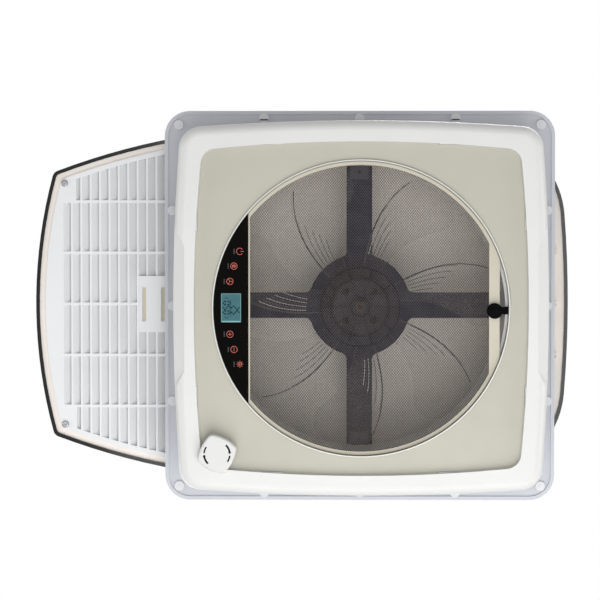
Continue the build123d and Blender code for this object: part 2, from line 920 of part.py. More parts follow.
def motor_shaft():
    return turned_over(rod_along_z(0, 0, shaft_radius, shaft_low, hub_cup_top + shaft_above))


def shaft_nut():
    hexagon = RegularPolygon(nut_across_flats / 2, nut_sides, major_radius=False)
    nut = plate(hexagon, hub_cup_top, hub_cup_top + nut_height)
    nut -= rod_along_z(0, 0, shaft_radius, hub_cup_top - overrun, hub_cup_top + nut_height + overrun)
    return turned_over(nut)


def hub_cup():
    cup = rod_along_z(0, 0, hub_cup_radius, hub_cup_low, hub_cup_top)
    cup = fillet(cup.edges().group_by(Axis.Z)[-1], hub_cup_round)
    inner_top = hub_cup_top - hub_cup_wall
    hollow = rod_along_z(0, 0, hub_cup_radius - hub_cup_wall, hub_cup_low - overrun, inner_top)
    hollow = fillet(hollow.edges().group_by(Axis.Z)[-1], hub_cup_round - hub_cup_wall)
    boss_low = motor_top + motor_boss_height + seat_gap
    cup = cup - hollow + rod_along_z(0, 0, hub_boss_outer, boss_low, hub_cup_top)
    cup -= rod_along_z(0, 0, shaft_radius, hub_cup_low, hub_cup_top + overrun)
    return turned_over(cup)


def blade_edge(start_deg, sweep_deg, bow_deg, root, tip):
    """A curved blade edge on the plan, from the root circle to the tip circle."""
    middle = (root + tip) / 2
    turn = radians(start_deg + sweep_deg / 2 - bow_deg)
    return ThreePointArc(
        Vector(root, 0).rotate(Axis.Z, start_deg),
        Vector(middle * cos(turn), middle * sin(turn)),
        Vector(tip, 0).rotate(Axis.Z, start_deg + sweep_deg),
    )


def blade_plan():
    """One blade seen along the axis, its leading edge starting on the X axis."""
    root = hub_cup_radius - blade_root_inset
    tip = blade_tip_radius
    trail_sweep = blade_sweep_deg + blade_tip_width_deg - blade_root_width_deg
    lead = blade_edge(0, blade_sweep_deg, blade_bow_deg, root, tip)
    trail = blade_edge(blade_root_width_deg, trail_sweep, blade_bow_deg, root, tip)
    tip_turn = blade_sweep_deg + blade_tip_width_deg / 2
    tip_arc = ThreePointArc(lead @ 1, Vector(tip, 0).rotate(Axis.Z, tip_turn), trail @ 1)
    root_arc = ThreePointArc(lead @ 0, Vector(root, 0).rotate(Axis.Z, blade_root_width_deg / 2), trail @ 0)
    plan = make_face([lead, tip_arc, trail, root_arc])
    tips = [v for v in plan.vertices() if hypot(v.X, v.Y) > (root + tip) / 2]
    return fillet(tips, blade_tip_round)


def blade_section(radius):
    """A pitched and cambered strip across the blade at one radius."""
    share = (radius - hub_cup_radius) / (blade_tip_radius - hub_cup_radius)
    width_deg = blade_root_width_deg + share * (blade_tip_width_deg - blade_root_width_deg)
    middle_deg = share * blade_sweep_deg + width_deg / 2
    half = radius * radians(width_deg) / 2
    rise = (blade_high - blade_low - blade_thickness) / 2
    camber = rise * blade_camber_share
    reach = blade_reach_share
    lower = ThreePointArc((-half * reach, -rise * reach), (0, camber), (half * reach, rise * reach))
    upper = Pos(0, blade_thickness) * lower
    ends = [Line(lower @ 0, upper @ 0), Line(lower @ 1, upper @ 1)]
    strip = make_face([lower, upper, *ends])
    turn = radians(middle_deg)
    level = (blade_low + blade_high - blade_thickness) / 2 - camber
    outwards = (cos(turn), sin(turn), 0)
    across = (-sin(turn), cos(turn), 0)
    return Plane((radius * cos(turn), radius * sin(turn), level), x_dir=across, z_dir=outwards) * strip


def fan_blade():
    span = blade_tip_radius - hub_cup_radius
    radii = [hub_cup_radius + share * span for share in blade_section_shares]
    slab = loft([blade_section(radius) for radius in radii])
    return slab & plate(blade_plan(), blade_low - overrun, blade_high + overrun)


def fan_impeller():
    body = hub_cup()
    blade = fan_blade()
    for turn in range(blade_count):
        body += Rot(0, 0, first_blade_deg + turn * 360 / blade_count) * blade
    return body


# Lid outline and shells


def circle_crossing(x_a, y_a, radius_a, x_b, y_b, radius_b, side):
    """Where two circles cross, on the chosen side of the line from the first centre to the second."""
    dx = x_b - x_a
    dy = y_b - y_a
    apart = hypot(dx, dy)
    along = (radius_a**2 - radius_b**2 + apart**2) / (2 * apart)
    across = side * sqrt(radius_a**2 - along**2)
    return (x_a + (along * dx - across * dy) / apart, y_a + (along * dy + across * dx) / apart)


def lid_corner(end_centre, end_arc, side_arc, inset):
    """Where a side arc at -Y meets an end arc, both moved inwards."""
    side_centre = side_arc - lid_half_width
    for side in (-1, 1):
        x, y = circle_crossing(end_centre, 0, end_arc - inset,
                               lid_widest_place, side_centre, side_arc - inset, side)
        if y < 0:
            return x, y


def arc_middle(x_a, x_b, side_arc, inset):
    """A point of the side arc at -Y, halfway along X between two places."""
    x = (x_a + x_b) / 2
    rise = sqrt((side_arc - inset)**2 - (x - lid_widest_place)**2)
    return x, side_arc - lid_half_width - rise


def lid_outline(inset, left_corner=lid_left_corner, right_corner=lid_right_corner):
    """The lid's outline of six arcs with rounded corners, moved inwards by the inset."""
    left_x, left_y = lid_corner(lid_left_arc - lid_left, lid_left_arc, lid_side_arc, inset)
    right_x, right_y = lid_corner(lid_right - lid_right_arc, lid_right_arc, lid_flank_arc, inset)
    middle_x, middle_y = arc_middle(left_x, lid_widest_place, lid_side_arc, inset)
    flank_x, flank_y = arc_middle(right_x, lid_widest_place, lid_flank_arc, inset)
    widest = lid_half_width - inset
    outline = make_face([
        ThreePointArc((left_x, left_y), (-lid_left + inset, 0), (left_x, -left_y)),
        ThreePointArc((left_x, -left_y), (middle_x, -middle_y), (lid_widest_place, widest)),
        ThreePointArc((lid_widest_place, widest), (flank_x, -flank_y), (right_x, -right_y)),
        ThreePointArc((right_x, -right_y), (lid_right - inset, 0), (right_x, right_y)),
        ThreePointArc((right_x, right_y), (flank_x, flank_y), (lid_widest_place, -widest)),
        ThreePointArc((lid_widest_place, -widest), (middle_x, middle_y), (left_x, left_y)),
    ])
    left_pair = outline.vertices().sort_by(Axis.X)[:2]
    outline = fillet(left_pair, max(left_corner - inset, left_corner * corner_least_share))
    right_pair = outline.vertices().sort_by(Axis.X)[-2:]
    return fillet(right_pair, max(right_corner - inset, right_corner * corner_least_share))


def crown_prism(drop):
    """Everything below the arched crown line of the hood."""
    left = -lid_left - overrun
    right = lid_right + overrun
    floor = -overrun
    peak = (crown_peak_place, crown_peak - drop)
    crown = ThreePointArc((left, crown_left - drop), peak, (right, crown_right - drop))
    profile = make_face([
        crown,
        Line((right, crown_right - drop), (right, floor)),
        Line((right, floor), (left, floor)),
        Line((left, floor), (left, crown_left - drop)),
    ])
    return side_profile(profile, -lid_half_width - overrun, lid_half_width + overrun)


def hood(inset, low, drop, left_corner, edge_round):
    """A tapering hood with an arched crown and rounded top edges."""
    high = crown_peak + overrun
    shift = shell_taper * (low - lid_rim_level) / (high - lid_rim_level)
    base = Pos(0, 0, low) * lid_outline(inset + shift, left_corner)
    corner = min(hood_corner, lid_half_width * hood_corner_most_share)
    top = Pos(0, 0, high) * lid_outline(inset + shell_taper, corner, corner)
    body = loft([base, top]) & crown_prism(drop)
    top_face = body.faces().sort_by(Axis.Z)[-1]
    return fillet(top_face.edges(), edge_round)


def lid_shell():
    body = hood(0, lid_rim_level, 0, lid_left_corner, hood_round)
    body -= hood(rim_width + shell_ledge, pan_high, shell_wall, cavity_corner, hood_round - shell_wall)
    pocket = lid_outline(rim_width)
    return body - plate(pocket, lid_rim_level - overrun, pan_high)


def tray(inset, high, edge_round):
    body = plate(lid_outline(inset, liner_corner, lid_right_corner + liner_corner / 2), pan_high, high)
    return fillet(body.faces().sort_by(Axis.Z)[-1].edges(), edge_round)


def lid_liner():
    body = tray(liner_inset, liner_ceiling, liner_round)
    hollow = tray(liner_inset + liner_wall, liner_ceiling - liner_wall, liner_round - liner_wall)
    body -= hollow
    half = lid_half_width - liner_inset - liner_round - liner_wall
    for step in range(-2, 3):
        x = lid_widest_place + step * liner_rib_step
        reach = half - abs(step) * liner_round
        body += block(x - liner_rib_width / 2, x + liner_rib_width / 2, -reach, reach,
                      liner_ceiling - liner_wall / 2, liner_ceiling + liner_rib_height)
    return body


def grille_window():
    """The part of the pan that is open above the louvres."""
    inner_end = grille_inner_end - window_ledge
    zone = block_sketch(-lid_left, inner_end, -lid_half_width, lid_half_width)
    return (lid_outline(grille_inset + window_ledge) & zone) - screw_corners(slat_root + seat_gap)


def block_sketch(x_low, x_high, y_low, y_high):
    """A rectangle between its lowest and highest corners."""
    centre = ((x_low + x_high) / 2, (y_low + y_high) / 2)
    return Pos(*centre) * Rectangle(x_high - x_low, y_high - y_low)


def lid_pan():
    sketch = lid_outline(rim_width) - rounded_square(duct_window_half, duct_window_corner) - grille_window()
    body = plate(sketch, pan_low, pan_high)
    rib_end = lid_right - rim_width - pan_rib_end_inset
    for step in (-1, 0, 1):
        for side in (-1, 1):
            y = step * pan_rib_step + side * pan_rib_half_gap
            body += block(pan_rib_start, rib_end, y - pan_rib_width / 2, y + pan_rib_width / 2,
                          pan_low - pan_rib_height, pan_low)
    for side in (-1, 1):
        body -= rod_along_z(grille_screw_place, side * grille_screw_y, screw_radius, pan_low - overrun,
                            pan_high + overrun)
    return body


def lid_seal():
    middle = upstand_side / 2 - upstand_wall / 2
    low = upstand_height + seat_gap
    high_half = seal_width / 2
    corner = upstand_corner - upstand_wall / 2
    foot = rounded_square(middle + high_half, corner + high_half)
    foot -= rounded_square(middle - high_half, corner - high_half)
    lip = rounded_square(middle + seal_lip_width, corner + seal_lip_width)
    lip -= rounded_square(middle - seal_lip_width, corner - seal_lip_width)
    level = (low + pan_low) / 2
    return plate(lip, low, level) + plate(foot, level, pan_low)


# Louvred grille and its screws


def grille_plan(inset):
    zone = block_sketch(-lid_left, grille_inner_end, -lid_half_width, lid_half_width)
    return lid_outline(inset) & zone


def screw_corners(step_back):
    """The solid corners that carry the grille's screws, up to its outer bars, less a step."""
    end = screw_corner_end - step_back
    near = 2 * bar_pitch + step_back
    corner = block_sketch(-lid_left, end, near, lid_half_width)
    return corner + block_sketch(-lid_left, end, -lid_half_width, -near)


def discharge_grille():
    panel = grille_plan(grille_inset)
    field_end = grille_inner_end - window_ledge - grille_end_margin
    field = lid_outline(grille_field_inset) & block_sketch(grille_field_start, field_end, -lid_half_width,
                                                           lid_half_width)
    field -= screw_corners(0)
    body = plate(panel - field, grille_low, pan_low)
    louvres = None
    count = int((field_end - slat_start) / slat_pitch) + 1
    lean = slat_height * tan(radians(slat_lean_deg))
    for step in range(count):
        x = slat_start + step * slat_pitch
        section = Polyline(
            (x, grille_low),
            (x + slat_thickness, grille_low),
            (x + slat_thickness + lean, grille_low + slat_height),
            (x + lean, grille_low + slat_height),
            close=True,
        )
        slat = side_profile(make_face(section), -lid_half_width, lid_half_width)
        louvres = slat if louvres is None else louvres + slat
    for step in range(-2, 3):
        y = step * bar_pitch
        louvres += block(grille_field_start - slat_root, field_end + slat_root, y - bar_width / 2,
                         y + bar_width / 2, grille_low, pan_low)
    root_space = block_sketch(grille_field_start - slat_root, field_end + slat_root, -lid_half_width,
                              lid_half_width)
    root_space &= lid_outline(grille_field_inset - slat_root)
    root_space -= screw_corners(slat_root)
    body += louvres & plate(root_space, grille_low, grille_low + slat_height)
    centre = grille_block_place
    boss = block(centre - grille_block_length / 2, centre + grille_block_length / 2, -grille_block_width / 2,
                 grille_block_width / 2, grille_low - grille_block_height, pan_low)
    for side in (-1, 1):
        x = centre + side * grille_slot_step / 2
        slot = block_sketch(x - grille_slot_width / 2, x + grille_slot_width / 2, -grille_slot_length / 2,
                            grille_slot_length / 2)
        boss -= plate(slot, grille_low - grille_block_height - overrun, grille_low)
    body += boss
    for side in (-1, 1):
        body -= rod_along_z(grille_screw_place, side * grille_screw_y, screw_radius, grille_low - overrun,
                            pan_low + overrun)
    return body


def grille_screws():
    screw = cross_screw(grille_thickness + pan_thickness)
    return [Pos(grille_screw_place, side * grille_screw_y, grille_low) * screw for side in (-1, 1)]


# Hinge


def hinge_bracket():
    """One clevis on the flange, centred on the hinge's middle."""
    foot_high = flange_thickness + hinge_foot_thickness
    foot = block(hinge_place - hinge_foot_length / 2, hinge_place + hinge_foot_length / 2,
                 -hinge_foot_width / 2, hinge_foot_width / 2, flange_thickness, foot_high)
    outline = Polyline(
        (hinge_place - hinge_foot_length / 2, foot_high - hinge_foot_thickness / 2),
        (hinge_place - hinge_ear_radius, hinge_height),
        (hinge_place + hinge_ear_radius, hinge_height),
        (hinge_place + hinge_foot_length / 2, foot_high - hinge_foot_thickness / 2),
        close=True,
    )
    ear_plan = make_face(outline) + Pos(hinge_place, hinge_height) * Circle(hinge_ear_radius)
    near = hinge_lug_width / 2 + hinge_side_gap
    ear = side_profile(ear_plan, near, near + hinge_ear_thickness)
    body = foot
    for piece in mirrored_pair(ear):
        body += piece
    body -= rod_along_y(hinge_place, hinge_height, hinge_pin_radius, -hinge_foot_width, hinge_foot_width)
    for y in hinge_screw_offsets():
        body -= rod_along_z(hinge_place, y, screw_radius, 0, foot_high + overrun)
    return body


def hinge_screw_offsets():
    """The screws of one clevis along Y, from its middle."""
    reach = hinge_foot_width / 2 - hinge_screw_inset
    return -reach, reach


def hinge_screw_places():
    """All four hinge screws along Y."""
    return [side * hinge_half_span + y for side in (-1, 1) for y in hinge_screw_offsets()]


def hinge_brackets():
    return [Pos(0, side * hinge_half_span, 0) * hinge_bracket() for side in (-1, 1)]


def hinge_screws():
    seat = flange_thickness + hinge_foot_thickness
    screw = Rot(180, 0, 0) * cross_screw(seat - sealant_depth)
    return [Pos(hinge_place, y, seat) * screw for y in hinge_screw_places()]


def hinge_pins():
    far = hinge_lug_width / 2 + hinge_side_gap + hinge_ear_thickness
    pin = rod_along_y(hinge_place, hinge_height, hinge_pin_radius, -far, far + hinge_pin_head)
    pin += rod_along_y(hinge_place, hinge_height, hinge_pin_head_radius, far, far + hinge_pin_head)
    return [Pos(0, side * hinge_half_span, 0) * pin for side in (-1, 1)]


def hinge_lug():
    outline = Polyline(
        (hinge_place - hinge_ear_radius, hinge_height),
        (hinge_place + hinge_ear_radius, hinge_height),
        (hinge_place + hinge_foot_length / 2, pan_low),
        (hinge_place - hinge_ear_radius - seat_gap, pan_low),
        close=True,
    )
    plan = make_face(outline) + Pos(hinge_place, hinge_height) * Circle(hinge_ear_radius)
    plan -= Pos(hinge_place, hinge_height) * Circle(hinge_pin_radius + running_gap)
    return side_profile(plan, -hinge_lug_width / 2, hinge_lug_width / 2)


def hinge_lugs():
    return [Pos(0, side * hinge_half_span, 0) * hinge_lug() for side in (-1, 1)]


# Lift arms, pivots and tracks, drawn on the +Y side


def lift_arm(pivot_hole_radius):
    """A tapering arm from its pivot to its tip, with a long relief slot."""
    pivot = Pos(arm_pivot_place, hinge_height) * Circle(arm_pivot_width / 2)
    tip = Pos(arm_tip_place, hinge_height) * Circle(arm_tip_width / 2)
    lean = asin((arm_pivot_width - arm_tip_width) / 2 / arm_length)
    across = cos(lean)
    along = -sin(lean)
    web = Polyline(
        (arm_pivot_place + along * arm_pivot_width / 2, hinge_height + across * arm_pivot_width / 2),
        (arm_tip_place + along * arm_tip_width / 2, hinge_height + across * arm_tip_width / 2),
        (arm_tip_place + along * arm_tip_width / 2, hinge_height - across * arm_tip_width / 2),
        (arm_pivot_place + along * arm_pivot_width / 2, hinge_height - across * arm_pivot_width / 2),
        close=True,
    )
    plan = pivot + tip + make_face(web)
    plan -= Pos((arm_pivot_place + arm_tip_place) / 2, hinge_height) * SlotCenterToCenter(
        arm_length * arm_slot_share, arm_slot_width)
    plan -= Pos(arm_pivot_place, hinge_height) * Circle(pivot_hole_radius)
    plan -= Pos(arm_tip_place, hinge_height) * Circle(arm_pin_radius)
    return side_profile(plan, arm_inner_face, arm_outer_face)


def arm_roller():
    """A roller on its headed pin at the arm's tip, inside the lid's track."""
    near = track_inner_face + roller_side_gap
    far = track_inner_face + track_thickness - roller_side_gap
    body = rod_along_y(arm_tip_place, hinge_height, roller_radius, near, far)
    return body + rod_along_y(arm_tip_place, hinge_height, arm_pin_radius, near, arm_outer_face)


def arm_shaft():
    """The driven arm's shaft, which turns in the lift gearbox."""
    near = lift_box_inner_face + lift_box_clearance
    return rod_along_y(arm_pivot_place, hinge_height, arm_shaft_radius, near, arm_outer_face)


def arm_track():
    """A slotted guide that hangs from the lid's pan."""
    travel = arm_tip_travel + 2 * roller_gap
    slot_radius = roller_radius + roller_gap
    low = hinge_height - slot_radius - track_wall
    x_low = arm_tip_place - slot_radius - track_margin
    x_high = arm_tip_place + travel + slot_radius + track_margin
    far = track_inner_face + track_thickness
    body = block(x_low, x_high, track_inner_face, far, low, pan_low)
    low_edges = body.edges().filter_by(Axis.Y).group_by(Axis.Z)[0]
    body = fillet(low_edges, track_wall)
    slot = Pos(arm_tip_place + travel / 2, hinge_height) * SlotCenterToCenter(travel, 2 * slot_radius)
    return body - side_profile(slot, track_inner_face - overrun, far + overrun)


def lift_post(width, low):
    """The housing or bracket that carries an arm's pivot and sits in the deck's notch."""
    near, far = lift_post_span()
    high = hinge_height + lift_box_top_margin
    x_low = arm_pivot_place - width / 2
    x_high = arm_pivot_place + width / 2
    body = block(x_low, x_high, near, far, low, high)
    body = fillet(body.edges().filter_by(Axis.Y), lift_box_round)
    lip_near = near + lift_lip
    lip_high = deck_high + lift_lip_thickness
    lip = block(x_low - lift_lip, x_high + lift_lip, lip_near, far, deck_high, lip_high)
    body += lip
    hole = rod_along_y(arm_pivot_place, hinge_height, arm_shaft_radius + running_gap, near, far + overrun)
    return body - Pos(0, lift_box_clearance / 2, 0) * hole


def lift_gearbox():
    body = lift_post(lift_box_width, rod_level - lift_box_top_margin)
    x_low = arm_pivot_place - lift_box_width / 2
    return body - rod_along_x(rod_y, rod_level, rod_radius + running_gap, x_low - overrun,
                              x_low + rod_insert + seat_gap)


def pivot_bracket():
    return mirror(lift_post(pivot_post_width, deck_low), about=Plane.XZ)


# Knob, corner gearbox and drive rod


def lid_knob():
    half = knob_side / 2
    high = trim_front - knob_trim_gap
    low = high - knob_thickness
    body = plate(bowed_square(half, knob_bow_radius, knob_corner), low, high)
    body = fillet(body.edges().group_by(Axis.Z)[0], knob_edge_round)
    stem_high = plate_front - knob_boss_height - seat_gap
    body += rod_along_z(0, 0, knob_stem_radius, high, stem_high)
    body -= rod_along_z(0, 0, knob_shaft_radius, high, stem_high + overrun)
    return Pos(knob_x, knob_y, 0) * Rot(0, 0, knob_turn_deg) * body


def knob_shaft():
    low = trim_front - knob_trim_gap
    return rod_along_z(knob_x, knob_y, knob_shaft_radius, low, plate_back + knob_shaft_insert)


def corner_gearbox():
    half = corner_box_side / 2
    high = plate_back + corner_box_height
    body = plate(rounded_square(half, corner_box_round), plate_back, high)
    body = fillet(body.edges().group_by(Axis.Z)[-1], corner_box_round / 2)
    foot = rounded_square(half + corner_box_foot, corner_box_round + corner_box_foot)
    body += plate(foot, plate_back, plate_back + corner_box_foot_thickness)
    body = Pos(knob_x, knob_y, 0) * body
    body -= rod_along_z(knob_x, knob_y, knob_shaft_radius + running_gap, plate_back - overrun,
                        plate_back + knob_shaft_insert + seat_gap)
    x_face = knob_x + half
    return body - rod_along_x(rod_y, rod_level, rod_radius + running_gap, x_face - rod_insert - seat_gap,
                              x_face + overrun)


def drive_rod():
    start = knob_x + corner_box_side / 2 - rod_insert
    end = arm_pivot_place - lift_box_width / 2 + rod_insert
    return rod_along_x(rod_y, rod_level, rod_radius, start, end)


# The sub-parts, one file each

nodes = {
    "roof_base": roof_base,
    "spigot_sleeve": spigot_sleeve,
    "face_plate": face_plate,
    "ceiling_trim": ceiling_trim,
    "screen_frame": screen_frame,
    "insect_screen": insect_screen,
    "screen_catch": screen_catch,
    "control_fascia": control_fascia,
    "lcd_display": lcd_display,
    "control_housing": control_housing,
    "control_board": control_board,
    "power_terminal": power_terminal,
    "cable_grommet": cable_grommet,
    "fan_shroud": fan_shroud,
    "motor_bracket": motor_bracket,
    "motor_screws": motor_screws,
    "bracket_screws": bracket_screws,
    "motor_bush": motor_bush,
    "motor_can": motor_can,
    "motor_shaft": motor_shaft,
    "shaft_nut": shaft_nut,
    "fan_impeller": fan_impeller,
    "lid_shell": lid_shell,
    "lid_liner": lid_liner,
    "lid_pan": lid_pan,
    "lid_seal": lid_seal,
    "discharge_grille": discharge_grille,
    "grille_screws": grille_screws,
    "hinge_brackets": hinge_brackets,
    "hinge_pins": hinge_pins,
    "hinge_screws": hinge_screws,
    "hinge_lugs": hinge_lugs,
    "drive_arm": lambda: lift_arm(arm_shaft_radius),
    "drive_arm_shaft": arm_shaft,
    "drive_arm_roller": arm_roller,
    "stay_arm": lambda: mirror(lift_arm(arm_shaft_radius), about=Plane.XZ),
    "stay_arm_pin": lambda: mirror(arm_shaft(), about=Plane.XZ),
    "stay_arm_roller": lambda: mirror(arm_roller(), about=Plane.XZ),
    "arm_tracks": lambda: mirrored_pair(arm_track()),
    "lift_gearbox": lift_gearbox,
    "pivot_bracket": pivot_bracket,
    "lid_knob": lid_knob,
    "knob_shaft": knob_shaft,
    "corner_gearbox": corner_gearbox,
    "drive_rod": drive_rod,
}

os.makedirs("parts", exist_ok=True)
for name, make in nodes.items():
    shape = make()
    if isinstance(shape, list):
        shape = Compound(children=shape)
    export_step(shape, f"parts/{name}.step")
    print(name, "written", flush=True)
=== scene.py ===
import math

import bmesh
import bpy
from mathutils import Matrix, Vector
from mathutils.bvhtree import BVHTree


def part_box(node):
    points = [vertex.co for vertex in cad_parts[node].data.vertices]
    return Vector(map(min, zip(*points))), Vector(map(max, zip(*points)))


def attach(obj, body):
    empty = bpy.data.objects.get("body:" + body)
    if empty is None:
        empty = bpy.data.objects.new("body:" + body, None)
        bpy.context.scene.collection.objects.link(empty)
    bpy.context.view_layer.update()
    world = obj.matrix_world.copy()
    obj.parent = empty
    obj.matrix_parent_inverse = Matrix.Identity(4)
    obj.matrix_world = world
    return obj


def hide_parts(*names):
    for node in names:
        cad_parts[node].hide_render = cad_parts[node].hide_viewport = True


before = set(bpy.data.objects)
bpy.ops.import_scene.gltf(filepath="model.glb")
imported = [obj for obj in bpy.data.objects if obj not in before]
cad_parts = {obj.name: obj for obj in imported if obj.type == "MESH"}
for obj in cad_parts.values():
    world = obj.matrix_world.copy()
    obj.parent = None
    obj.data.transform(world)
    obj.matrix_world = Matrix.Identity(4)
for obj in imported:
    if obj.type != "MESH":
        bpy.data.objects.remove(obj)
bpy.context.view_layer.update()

# Photograph: 600 pixels square, seen from below along +Z, +X to the right and +Y down
photo_side = 600
focal_pixels = 1721
axis_pixel = (317, 215)
aim_pixel = (300, 257.5)
camera_place = Vector((-0.046, -0.098, -1.855))
sensor_width = 36.0
clip_near = 0.05
clip_far = 30

# The part's own sizes that the looks follow, in metres and degrees
hub_cup_radius = 0.044
bracket_edge_radius = 0.057
shroud_radius = 0.1517
grille_block_height = 0.0025
blade_count = 7
blade_root_radius = 0.0445
blade_tip_radius = 0.1465
blade_first_deg = 18
blade_root_deg = 27
blade_tip_deg = 37
blade_sweep_deg = 17
blade_bow_deg = 3

# Fly screen
wire_pitch = 0.0020
wire_thickness = 0.00036
wire_turns_deg = (52, -52)
wire_seat = 0.0004
wire_sides = 6
shortest_wire = 4 * wire_pitch

# Print on the touch panel
print_thickness = 0.00006
icon_radius = 0.0034
icon_stroke = 0.00042
icon_circle_radius = 0.1400
icon_step_deg = 6.8
icon_first_deg = 11.4
label_bar_count = 5
label_bar_pitch = 0.0011
label_bar_heights = (0.0013, 0.0009)
label_bar_width = 0.0006
label_level = -icon_radius * 1.75

# Display: each row of figures has its text, its base level and its first place
figure_rows = (("25", 0.0008, -0.5), ("050", -0.0082, -1.5))
figure_segments = {"0": "abcdef", "2": "abged", "5": "afgcd"}
figure_shift = 0.0008
digit_height = 0.0074
digit_width = 0.0031
digit_stroke = 0.0013
digit_pitch = 0.0049
segment_gap = digit_stroke * 0.55
display_line_half = 0.0088
display_line_level = -0.0003
display_line_width = 0.0004
display_arc_place = 0.0074
display_arc_level = -0.0048
display_arc_radius = 0.0030
display_arc_half_deg = 40
display_arc_steps = 6
display_arc_width = 0.0005
border_inset = 0.0006
border_widths = (0.0004, 0.0004, 0.0018, 0.0004)

# Knob marks
arrow_radius = 0.0134
arrow_stroke = 0.0020
arrow_span_deg = (-46, -8)
arrow_steps = 10
arrow_tip_deg = -1
arrow_wing_deg = -10
arrow_wing_reach = 0.0019
dash_span_deg = (6, 35)
dash_steps = 8
dash_stroke = arrow_stroke * 0.8

# Hub lines and motor ports
hub_rim_radius = 0.042
hub_ring_radius = 0.031
hub_eye_radius = 0.010
hub_ring_steps = 48
hub_line_width = 0.0012
hub_spoke_count = 10
hub_spoke_start = hub_eye_radius * 1.3
outer_spoke_width = hub_line_width * 0.9
inner_spoke_width = hub_line_width * 0.4
motor_port_radius = 0.0042
motor_port_circle = 0.0215
motor_port_rise = 0.0025
motor_port_turns_deg = (45, 135, 225, 315)

# Grille slots and opening rim
slot_strip_place = -0.226
slot_strip_step = 0.0104
slot_strip_width = 0.0036
slot_strip_length = 0.036
rim_radius = 0.1554
rim_width = 0.0011
rim_steps = 120
bead_stand = print_thickness * 4
bead_sink = print_thickness * 8

# Flange bosses and clip slots
boss_radius = 0.0052
boss_pip_radius = 0.0017
boss_height = 0.0004
corner_boss_place = 0.195
side_boss_place = 0.202
side_boss_step = 0.103
clip_length = 0.0085
clip_width = 0.0013
clip_inset = boss_radius * 0.3

# Lines on the blades: a line's share is of the way from root to tip, a bead's shares are of its width
leading_edge_inset_deg = 0.6
leading_edge_width = 0.0009
trailing_edge_inset_deg = 1.5
trailing_edge_share = 0.8
rib_count = 9
rib_first_deg = 2.2
rib_step_deg = 1.9
rib_width = 0.0005
rib_first_share = 0.62
rib_share_step = 0.045
blade_line_steps = 24
blade_line_least_steps = 6
blade_line_least_points = 3
below_fan_level = -0.04
bead_crown_share = 0.6
bead_lift_share = 0.45
bead_depth_share = 0.3

# Stage
floor_level = -1.97
floor_half_side = 6
floor_cells = 8
world_seen_level = 1.0
world_diffuse_level = 0.42
lamps = {
    "key": dict(place=(0.1, 0.85, -1.0), size=1.3, power=10),
    "front": dict(place=(0.05, 0.15, -1.75), size=1.2, power=7.5),
    "left": dict(place=(-1.5, 0.1, -0.45), size=0.8, power=3.5),
    "right": dict(place=(1.5, 0.1, -0.45), size=0.8, power=5),
    "above": dict(place=(0.6, -0.9, 1.5), size=1.2, power=16),
    "above_far": dict(place=(-0.9, 0.8, 1.4), size=1.2, power=10),
}

# Shares and levels in the node materials
tone_edges = (0.32, 0.68)
gloss_shares = (0.85, 1.15)
gloss_patch_ratio = 6
grain_strength = 0.35
streak_tone_shares = (0.85, 1.12)
streak_gloss_shares = (0.7, 1.3)
streak_grain = 900
streak_grain_strength = 0.25
fine_depth = 0.00005
smoke_hub_alpha = 0.015
smoke_blade_alpha = 0.045
smoke_full_radius = hub_cup_radius * 1.7
lug_edge_blur = 0.0002
board_patch = 200
board_gloss = (0.28, 0.42)
track_strength = 0.3

bracket_colour = (0.018, 0.021, 0.043)

